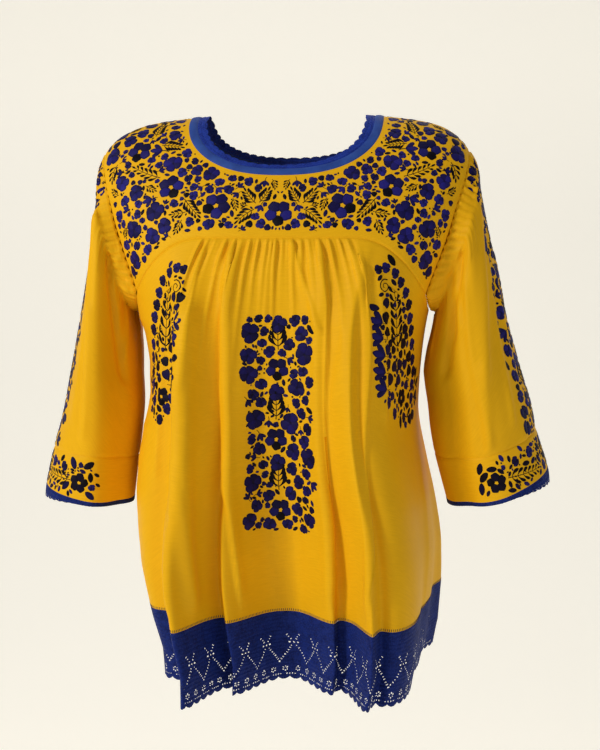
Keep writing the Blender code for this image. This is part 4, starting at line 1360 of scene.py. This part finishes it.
class Needlework:
    """Stitched shapes on one cloth, kept clear of each other, and made into one mesh at the end."""

    def __init__(self, cloth, seed, up, mirrored=False, light=1.0):
        self.cloth, self.mirrored, self.light = cloth, mirrored, light
        self.random = np.random.default_rng(seed)
        self.up = np.array(up, float)
        self.taken = np.zeros((0, 4))
        self.laid = []

    def keep_clear(self, points, radius):
        """Leaves room round points, such as the edge of the cloth."""
        rows = np.column_stack([points, np.full(len(points), radius)])
        self.taken = np.concatenate([self.taken, rows])

    def spread(self, row, column, flat):
        """The rows and columns of places that are given in millimetres right of and above an anchor."""
        anchor, _, _, normal = (value[0] for value in self.cloth.read(np.array([row]), np.array([column])))
        normal = normal / np.linalg.norm(normal)
        up = self.up - normal * (self.up @ normal)
        up /= np.linalg.norm(up)
        right = np.cross(up, normal)
        target = anchor + (flat[:, :1] * right + flat[:, 1:2] * up) * MM
        rows, columns = np.full(len(flat), float(row)), np.full(len(flat), float(column))
        for _ in range(SETTLE_STEPS):
            point, a, b, _ = self.cloth.read(rows, columns)
            away = target - point
            aa, ab, bb = (a * a).sum(-1), (a * b).sum(-1), (b * b).sum(-1)
            da, db = (a * away).sum(-1), (b * away).sum(-1)
            scale = np.maximum(aa * bb - ab * ab, 1e-20)
            rows = rows + np.clip((bb * da - ab * db) / scale, -LONGEST_STEP, LONGEST_STEP)
            columns = columns + np.clip((aa * db - ab * da) / scale, -LONGEST_STEP, LONGEST_STEP)
        return rows, columns

    def free(self, points, radii):
        """Whether disks lie clear of all that is taken, and of the middle line where the work is mirrored."""
        if self.mirrored and np.any(points[:, 0] < radii + STITCH_GAP / 2):
            return False
        if not len(self.taken):
            return True
        apart = np.linalg.norm(points[:, None] - self.taken[None, :, :3], axis=-1)
        return bool(np.all(apart > radii[:, None] + self.taken[None, :, 3] + STITCH_GAP))

    def lay(self, shape, row, column, tested=True, single=False):
        """Lays a shape on the cloth, and says whether there was room for it."""
        rows, columns = self.spread(row, column, shape.disks[:, :2])
        points = self.cloth.read(rows, columns)[0]
        radii = shape.disks[:, 2] * MM
        if tested and not (self.on_cloth(rows, columns) and self.free(points, radii)):
            return False
        rows, columns = self.spread(row, column, shape.points[:, :2])
        if tested and not self.on_cloth(rows, columns):
            return False
        self.taken = np.concatenate([self.taken, np.column_stack([points, radii])])
        self.laid.append((rows, columns, shape, single))
        return True

    def on_cloth(self, rows, columns):
        """Whether places all lie within the edges of the cloth."""
        inside = (rows > 0) & (rows < self.cloth.rows - 1)
        if not self.cloth.ring:
            inside &= (columns > 0) & (columns < self.cloth.columns - 1)
        return bool(np.all(inside))

    def put(self, shape, x, z, facing=-1, tested=False, single=False):
        """Lays a shape at the place that is seen from the front, or the back, at x and z."""
        return self.lay(shape, *self.cloth.find(x, z, facing), tested, single)

    def fill(self, makers, tries, inside):
        """Throws shapes at random, the first kind first, and lays those that find room."""
        for make in makers:
            for _ in range(tries // KNOT_TRIES_SHARE if make is knot else tries):
                row = self.random.uniform(0, self.cloth.rows - 1)
                column = self.random.uniform(0, self.cloth.columns - 1)
                turn, size, shade = self.random.uniform(*THROWN_TURN_SIZE_SHADE)
                point = self.cloth.read(np.array([row]), np.array([column]))[0]
                if not (inside(point[0]) and self.free(point, np.array([MM]))):
                    continue
                for share in FIT_SIZES:
                    if self.lay(make(shade).placed(turn=turn, size=size * share), row, column):
                        break

    def finish(self, name, material):
        """One mesh of all that was laid, with its tones and its thread places."""
        points, tones, threads, faces, start = [], [], [], [], 0
        flips = (False, True) if self.mirrored else (False,)
        for rows, columns, shape, single in self.laid:
            for flip in flips:
                if flip and single:
                    continue
                at = self.cloth.columns - 1 - columns if flip else columns
                place, _, _, normal = self.cloth.read(rows, at)
                points.append(place + normal * (shape.points[:, 2:] * MM))
                tones.append(shape.tones * self.light)
                threads.append(shape.threads)
                for face in shape.faces:
                    corners = [k + start for k in face]
                    faces.append(corners[::-1] if flip else corners)
                start += len(rows)
        piece = finished_mesh(name, sway(np.concatenate(points)), faces, material)
        add_uv(piece, np.concatenate(threads) * MM)
        tone = piece.data.attributes.new("tone", "FLOAT", "POINT")
        tone.data.foreach_set("value", np.concatenate(tones).astype(np.float32))
        return piece


def royal_blossom(shade):
    return flower(7.2, 5, 0.70 + 0.25 * shade)


def royal_flower(shade):
    return flower(6.2, 4, 0.55 + 0.40 * shade)


def bell(shade):
    return tulip(9.5, 0.60 + 0.35 * shade)


def heart_leaf(shade):
    return heart(8.0, 0.10 + 0.70 * shade)


def small_spray(shade):
    return spray(17.0, 3, 40.0 - 80.0 * shade, 9.5, 0.06)


def broad_leaf(shade):
    return leaf(9.4, 5.0, 0.05 + 0.50 * shade)


def small_flower(shade):
    return flower(4.2, 5, 0.60 + 0.35 * shade)


def bud(shade):
    return leaf(6.2, 3.5, 0.10 + 0.80 * shade)


def small_leaf(shade):
    return leaf(4.4, 2.4, 0.05 + 0.60 * shade)


def knot(shade):
    return dot(0.75, 0.05 + 0.30 * shade)


def seed(shade):
    return leaf(3.2, 1.9, 0.05 + 0.70 * shade)


def frond(shade):
    return spray(10.0, 2, 40.0 * shade - 20.0, 7.5, 0.05)


SMALL_MAKERS = (broad_leaf, small_flower, bud, small_leaf, seed, knot)
YOKE_MAKERS = (royal_blossom, small_spray, royal_flower, bell, heart_leaf, frond, *SMALL_MAKERS)
STRIP_MAKERS = (royal_blossom, royal_flower, bell, heart_leaf, *SMALL_MAKERS)


def embroider_yoke(cloth, name):
    """The dense needlework of half the yoke: the placed motifs, and small ones thrown between them."""
    facing = 1 if name == "back" else -1
    work = Needlework(cloth, YOKE_SEEDS[name], (0, -0.6 * facing, 1), mirrored=True)
    edge = cloth.grid[-1]
    work.keep_clear(cloth.grid[0], YOKE_NECK_MARGIN)
    work.keep_clear(edge[YOKE_ARMHOLE_STEPS:-YOKE_ARMHOLE_STEPS], YOKE_SEAM_MARGIN)
    work.keep_clear(edge[:YOKE_ARMHOLE_STEPS], YOKE_ARMHOLE_MARGIN)
    work.keep_clear(edge[-YOKE_ARMHOLE_STEPS:], YOKE_ARMHOLE_MARGIN)
    for x, z, radius, turn, tone in YOKE_PANSIES:
        work.put(pansy(radius, tone).placed(turn=turn), x, z, facing, single=x == 0)
    for x, z, turn, length, pairs, bend in YOKE_SPRAYS:
        shape = spray(length, pairs, bend, YOKE_SPRAY_REACH, 0.06).placed(turn=turn)
        work.put(shape, x, z, facing, tested=True)
    work.fill(YOKE_MAKERS, YOKE_TRIES, lambda point: point[0] > 0)
    return work


def embroider_strip(work, top, low, repeats, width):
    """Repeats of a flower, a spray and a pansy down a strip, from one row and column to another."""
    for k in range(repeats):
        for share, shape in (
            (0.09, flower(width * 0.14, 5, 0.85)),
            (0.47, spray(width * 0.38, 4, 8.0 if k % 2 else -8.0, width * 0.23, 0.05)),
            (0.75, pansy(width * 0.19, 0.85)),
        ):
            row, column = top + (low - top) * (k + share) / repeats
            work.lay(shape, row, column, tested=False)


def embroider_body(cloth):
    """The middle panel and the two side sprays of the front."""
    work = Needlework(cloth, BODY_SEED, (0, 0, 1), light=PANEL_LIGHT)
    ends = [cloth.find(PANEL_X, z) for z in (PANEL_TOP, PANEL_LOW)]
    embroider_strip(work, *ends, 3, 2 * PANEL_HALF_WIDTH / MM)
    work.fill(STRIP_MAKERS, PANEL_TRIES, in_panel)
    for side in (-1, 1):
        for x, z, turn, shape in side_motifs():
            work.put(shape.placed(turn=turn).placed(mirror=side < 0), side * x + PANEL_X, z)
        work.fill(STRIP_MAKERS[3:], PAISLEY_TRIES, lambda point: in_paisley(point, side))
    return work


def in_panel(point):
    """Whether a place is in the middle panel of the front."""
    return abs(point[0] - PANEL_X) < PANEL_HALF_WIDTH and PANEL_LOW < point[2] < PANEL_TOP and point[1] < 0


def in_paisley(point, side):
    """Whether a place is in a side spray: a comma, narrow at the top and widest towards its low outer tip."""
    share = (PAISLEY_TOP - point[2]) / (PAISLEY_TOP - PAISLEY_LOW)
    if not 0 < share < 1 or point[1] > 0:
        return False
    middle, half = (np.interp(share, PAISLEY[:, 0], PAISLEY[:, k]) for k in (1, 2))
    return abs(side * (point[0] - PANEL_X) - middle) < half


def scroll():
    """A spiral that opens clockwise."""
    number = np.arange(1, SCROLL_POINTS + 1)
    angle = np.radians(SCROLL_START[0] + SCROLL_STEP[0] * number)
    reach = SCROLL_START[1] + SCROLL_STEP[1] * number
    line = np.column_stack([reach * np.cos(angle), reach * np.sin(angle)])
    return ribbon(line, np.linspace(0.8, 1.3, len(line)), 0.4, 0.08, disks_on(line, 1.4, 1))


def side_motifs():
    """The shapes of a side spray, each with its x from the middle, its height and its turn."""
    motifs = [(*PAISLEY_SCROLL, scroll()), (*PAISLEY_SPRAY, spray(86.0, 9, 12.0, 16.5, 0.06))]
    x, z, turn = PAISLEY_TULIP
    for k in range(PAISLEY_TULIPS):
        motifs.append((x + PAISLEY_TULIP_STEP[0] * k, z + PAISLEY_TULIP_STEP[1] * k, turn, tulip(17.0, 0.95)))
    for x, z, radius, tone in PAISLEY_FLOWERS:
        motifs.append((x, z, PAISLEY_FLOWER_TURN, flower(radius, 5, tone)))
    motifs.append((*PAISLEY_PANSY, pansy(10.5, 0.35)))
    return motifs


def near_line(cloth, rows, columns, reach):
    """A test whether a place is within reach of a line on a cloth."""
    line = cloth.read(rows, columns)[0]
    return lambda point: np.linalg.norm(line - point, axis=1).min() < reach


def embroider_sleeve(cloth, side):
    """The strip of needlework down the outer front of a sleeve."""
    work = Needlework(cloth, SLEEVE_SEED + side, (0, 0, 1))
    column = SLEEVE_STRIP_ANGLE / 360 * cloth.columns
    ends = [np.array([share * (cloth.rows - 1), column]) for share in SLEEVE_STRIP_ENDS]
    embroider_strip(work, *ends, SLEEVE_STRIP_REPEATS, SLEEVE_STRIP_WIDTH)
    rows = np.linspace(ends[0][0], ends[1][0], LINE_POINTS)
    inside = near_line(cloth, rows, np.full(LINE_POINTS, column), SLEEVE_STRIP_HALF_WIDTH)
    work.fill(STRIP_MAKERS[1:], SLEEVE_TRIES, inside)
    return work


def embroider_cuff(cloth, side):
    """A spray on the sleeve band, from a flower near its outer line to a pansy near its front."""
    work = Needlework(cloth, CUFF_SEED + side, (0, 0, 1))
    middle = (cloth.rows - 1) / 2
    count = cloth.columns / 360
    for angle, rise, turn, shape in (
        (2.0, 2.0, 0.0, tulip(17.0, 0.90)),
        (76.0, -3.0, -78.0 * side, spray(46.0, 6, 10.0 * side, 12.5, 0.06)),
        (88.0, -4.0, -90.0 * side, pansy(11.5, 0.30)),
        (44.0, 11.0, 0.0, flower(6.5, 5, 0.80)),
        (66.0, 10.0, 0.0, flower(5.5, 4, 0.55)),
        (20.0, -13.0, 0.0, flower(6.0, 5, 0.80)),
    ):
        work.lay(shape.placed(turn=turn).placed(y=rise), middle, angle * count, tested=False)
    columns = np.linspace(*CUFF_SPRAY_ENDS, CUFF_LINE_POINTS) * count
    inside = near_line(cloth, np.full(CUFF_LINE_POINTS, middle), columns, CUFF_SPRAY_REACH)
    work.fill(STRIP_MAKERS[4:], CUFF_TRIES, inside)
    return work


def stitch_row(cloth):
    """Short upright stitches at even steps along the lower edge of a cloth."""
    up, step, length, width, tone = HEM_STITCHES
    work = Needlework(cloth, STITCH_SEED, (0, 0, 1))
    row = cloth.rows - up
    line = cloth.across[int(row)]
    half = length / 2
    widths = [width * 0.6, width, width * 0.6]
    strip = ribbon([(0.0, -half), (0.0, 0.0), (0.0, half)], widths, 0.3, tone, [(0, 0, 0.1)])
    for place in np.arange(step / 2, line[-1], step):
        work.lay(strip, row, float(np.interp(place, line, np.arange(cloth.columns))), tested=False)
    return work


def backdrop():
    """A pale floor that curves up into a pale wall."""
    made, tree, shader = new_material("pale_backdrop")
    place = add_node(tree, "TexCoord").outputs["Object"]
    grain = add_node(tree, "TexNoise", {"Vector": place, "Scale": 3.0, "Detail": 2.0})
    darker = tuple(BACKDROP_SHADE * channel for channel in BACKDROP_COLOUR)
    colour = add_ramp(tree, grain.outputs["Fac"], (0.0, BACKDROP_COLOUR), (1.0, darker))
    tree.links.new(colour, shader.inputs["Base Color"])
    tree.links.new(colour, shader.inputs["Emission Color"])
    shader.inputs["Emission Strength"].default_value = BACKDROP_GLOW
    shader.inputs["Roughness"].default_value = 0.9
    shader.inputs["Specular IOR Level"].default_value = 0.0
    turn = np.linspace(0, math.pi / 2, 25)
    bend_y = BACKDROP_BACK - BACKDROP_BEND + BACKDROP_BEND * np.sin(turn)
    bend_z = FLOOR_HEIGHT + BACKDROP_BEND * (1 - np.cos(turn))
    profile = [(BACKDROP_FRONT, FLOOR_HEIGHT), *zip(bend_y, bend_z), (BACKDROP_BACK, BACKDROP_TOP)]
    points = [(x, y, z) for y, z in profile for x in (-BACKDROP_HALF_WIDTH, BACKDROP_HALF_WIDTH)]
    piece = finished_mesh("backdrop", points, grid_faces(len(profile), 2, False, 1).tolist(), made)


VIEW_TRANSFORM = "Standard"
BACKDROP_COLOUR = (0.853, 0.825, 0.757)
BACKDROP_SHADE = 0.99
BACKDROP_GLOW = 0.45
FLOOR_HEIGHT = -1.15
BACKDROP_FRONT = -14.0
BACKDROP_BACK = 2.6
BACKDROP_BEND = 1.6
BACKDROP_TOP = 3.2
BACKDROP_HALF_WIDTH = 4.5
WORLD_COLOUR = (0.95, 0.96, 0.92)
WORLD_STRENGTH = 0.24

# Lights: x, y, z, size, power, and red, green and blue
LIGHTS = {
    "key": (-1.70, -1.45, 0.80, 0.50, 34.0, 1.0, 0.97, 0.92),
    "fill": (1.50, -1.80, 0.10, 1.60, 5.0, 0.96, 0.98, 1.0),
    "top": (0.10, 0.30, 1.90, 1.40, 5.0, 1.0, 0.99, 0.96),
    "rear": (0.60, 1.30, 1.10, 1.30, 4.0, 1.0, 0.98, 0.95),
}
LIGHT_AIM = (0.0, 0.0, -0.30)

# The camera stands a little to the wearer's left of straight in front, and looks slightly down
CAMERA_TURN = math.radians(5.0)
CAMERA_DISTANCE = 1.3
CAMERA_OFFSET = 0.0123
CAMERA_HEIGHT = -0.161
CAMERA_TARGET_HEIGHT = -0.2896
CAMERA_ANGLE = math.radians(35.66)


def studio():
    """Soft light from the upper left, a weaker fill, and the camera at the photograph's angle."""
    world = bpy.data.worlds.new("studio")
    world.use_nodes = True
    world.node_tree.nodes["Background"].inputs["Color"].default_value = (*WORLD_COLOUR, 1)
    world.node_tree.nodes["Background"].inputs["Strength"].default_value = WORLD_STRENGTH
    bpy.context.scene.world = world
    for name, (x, y, z, size, power, *colour) in LIGHTS.items():
        data = bpy.data.lights.new(name, "AREA")
        data.size, data.energy, data.color = size, power, colour
        light = bpy.data.objects.new(name, data)
        light.location = (x, y, z)
        light.rotation_euler = (Vector(LIGHT_AIM) - light.location).to_track_quat("-Z", "Y").to_euler()
        bpy.context.scene.collection.objects.link(light)
    sine, cosine = math.sin(CAMERA_TURN), math.cos(CAMERA_TURN)
    off = Vector((CAMERA_OFFSET * cosine, CAMERA_OFFSET * sine, 0))
    data = bpy.data.cameras.new("camera")
    data.sensor_fit = "VERTICAL"
    data.angle_y = CAMERA_ANGLE
    data.clip_start = 0.05
    camera = bpy.data.objects.new("camera", data)
    camera.location = off + Vector((CAMERA_DISTANCE * sine, -CAMERA_DISTANCE * cosine, CAMERA_HEIGHT))
    aim = off + Vector((0, 0, CAMERA_TARGET_HEIGHT)) - camera.location
    camera.rotation_euler = aim.to_track_quat("-Z", "Y").to_euler()
    bpy.context.scene.collection.objects.link(camera)
    bpy.context.scene.camera = camera
    bpy.context.scene.view_settings.view_transform = VIEW_TRANSFORM


def body_clothes():
    """The halves of the yoke and the body, with creases and seams, and where the sleeves start."""
    yokes = [yoke_cloth(back) for back in (False, True)]
    seams = [yoke.grid[-1][YOKE_ARMHOLE_STEPS:-YOKE_ARMHOLE_STEPS] for yoke in yokes]
    panels = [body_cloth(back, seams[int(back)]) for back in (False, True)]
    starts = {side: armhole_ring(side, yokes, panels) for side in SIDES}
    for k, name in enumerate(HALVES):
        add_creases(panels[k], CREASES[name], 1 if k else -1)
        add_wrinkles(panels[k], BODY_WRINKLE_SEED + k, *BODY_WRINKLES)
        add_grooves(panels[k], True, False)
        add_grooves(yokes[k], False, True)
        sew(panels[k], yokes[k])
    return yokes, panels, starts


def sleeve_clothes(side, start):
    """A sleeve, its band and its crochet."""
    sleeve = sleeve_cloth(side, start)
    add_puckers(sleeve, PUCKER_SEED + side)
    add_grooves(sleeve, True, True)
    add_creases(sleeve, CREASES[SIDES[side]])
    add_wrinkles(sleeve, SLEEVE_WRINKLE_SEED + side, *SLEEVE_WRINKLES)
    cuff = tube_cloth(side, SLEEVE_SEAM_ROW, CUFF_ROW, CUFF_ROWS, sleeve.columns)
    add_grooves(cuff, True, False)
    return sleeve, cuff, tube_cloth(side, CUFF_ROW, CUFF_LACE_ROW, CUFF_LACE_ROWS, sleeve.columns)


def neck_trim(outer, inner):
    """A strip round the neck, between two necklines."""
    angle = np.linspace(0, 2 * math.pi, NECK_COLUMNS, endpoint=False)
    lines = [neck_curve(size, angle) for size in (outer, inner)]
    share = np.linspace(0, 1, NECK_ROWS + 1)[:, None, None]
    return Cloth(chart_point(lines[0] * (1 - share) + lines[1] * share), 1, True)


def round_off(trim):
    """Rounds a strip across, as a folded binding is."""
    share = np.linspace(-1, 1, trim.rows)[:, None]
    trim.raise_by(BINDING_ROUND * np.sqrt(1 - share**2) * np.ones((1, trim.columns)))


def main():
    cotton = cotton_material()
    crochet = crochet_material("blue_crochet", 1.0)
    neck_crochet = crochet_material("neck_crochet", 1.9)
    binding = binding_material()
    thread = thread_material()
    made, works = {}, {}
    yokes, panels, starts = body_clothes()
    for k, name in enumerate(HALVES):
        made["yoke_" + name] = add_cloth("cotton_yoke_" + name, yokes[k], cotton)
        made["body_" + name] = add_cloth("cotton_body_" + name, panels[k], cotton)
        hem = hem_cloth(k == 1)
        holes = wide_holes(lace_length(hem))
        made["hem_crochet_" + name] = add_lace("lace_hem_" + name, hem, holes, crochet, HEM_LACE)
        works["embroidery_yoke_" + name] = embroider_yoke(yokes[k], name)
    works["embroidery_body"] = embroider_body(panels[0])
    for side, name in SIDES.items():
        sleeve, cuff, lace = sleeve_clothes(side, starts[side])
        holes = eyelet_row(lace_length(lace), CUFF_HOLES_DOWN, CUFF_HOLE_STEP, CUFF_HOLE)
        made["sleeve_" + name] = add_cloth("cotton_sleeve_" + name, sleeve, cotton)
        made["cuff_" + name] = add_cloth("cotton_cuff_" + name, cuff, cotton)
        made["cuff_crochet_" + name] = add_lace("lace_cuff_" + name, lace, holes, crochet, CUFF_LACE)
        works["embroidery_sleeve_" + name] = embroider_sleeve(sleeve, side)
        works["embroidery_cuff_" + name] = embroider_cuff(cuff, side)
    band = neck_trim(NECK_SEAM, NECK_BAND_INNER)
    round_off(band)
    made["neck_band"] = add_cloth("trim_neck_band", band, binding)
    edge = neck_trim(NECK_BAND_INNER, NECK_EDGE)
    made["neck_crochet"] = add_lace("trim_neck_crochet", edge, [], neck_crochet, NECK_LACE)
    for node, piece in made.items():
        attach(piece, "root")
        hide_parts(node)
    for k, name in enumerate(HALVES):
        works["hem_stitches_" + name] = stitch_row(panels[k])
    for name, work in works.items():
        piece = work.finish(name, thread)
        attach(piece, "root")
    backdrop()
    studio()


main()
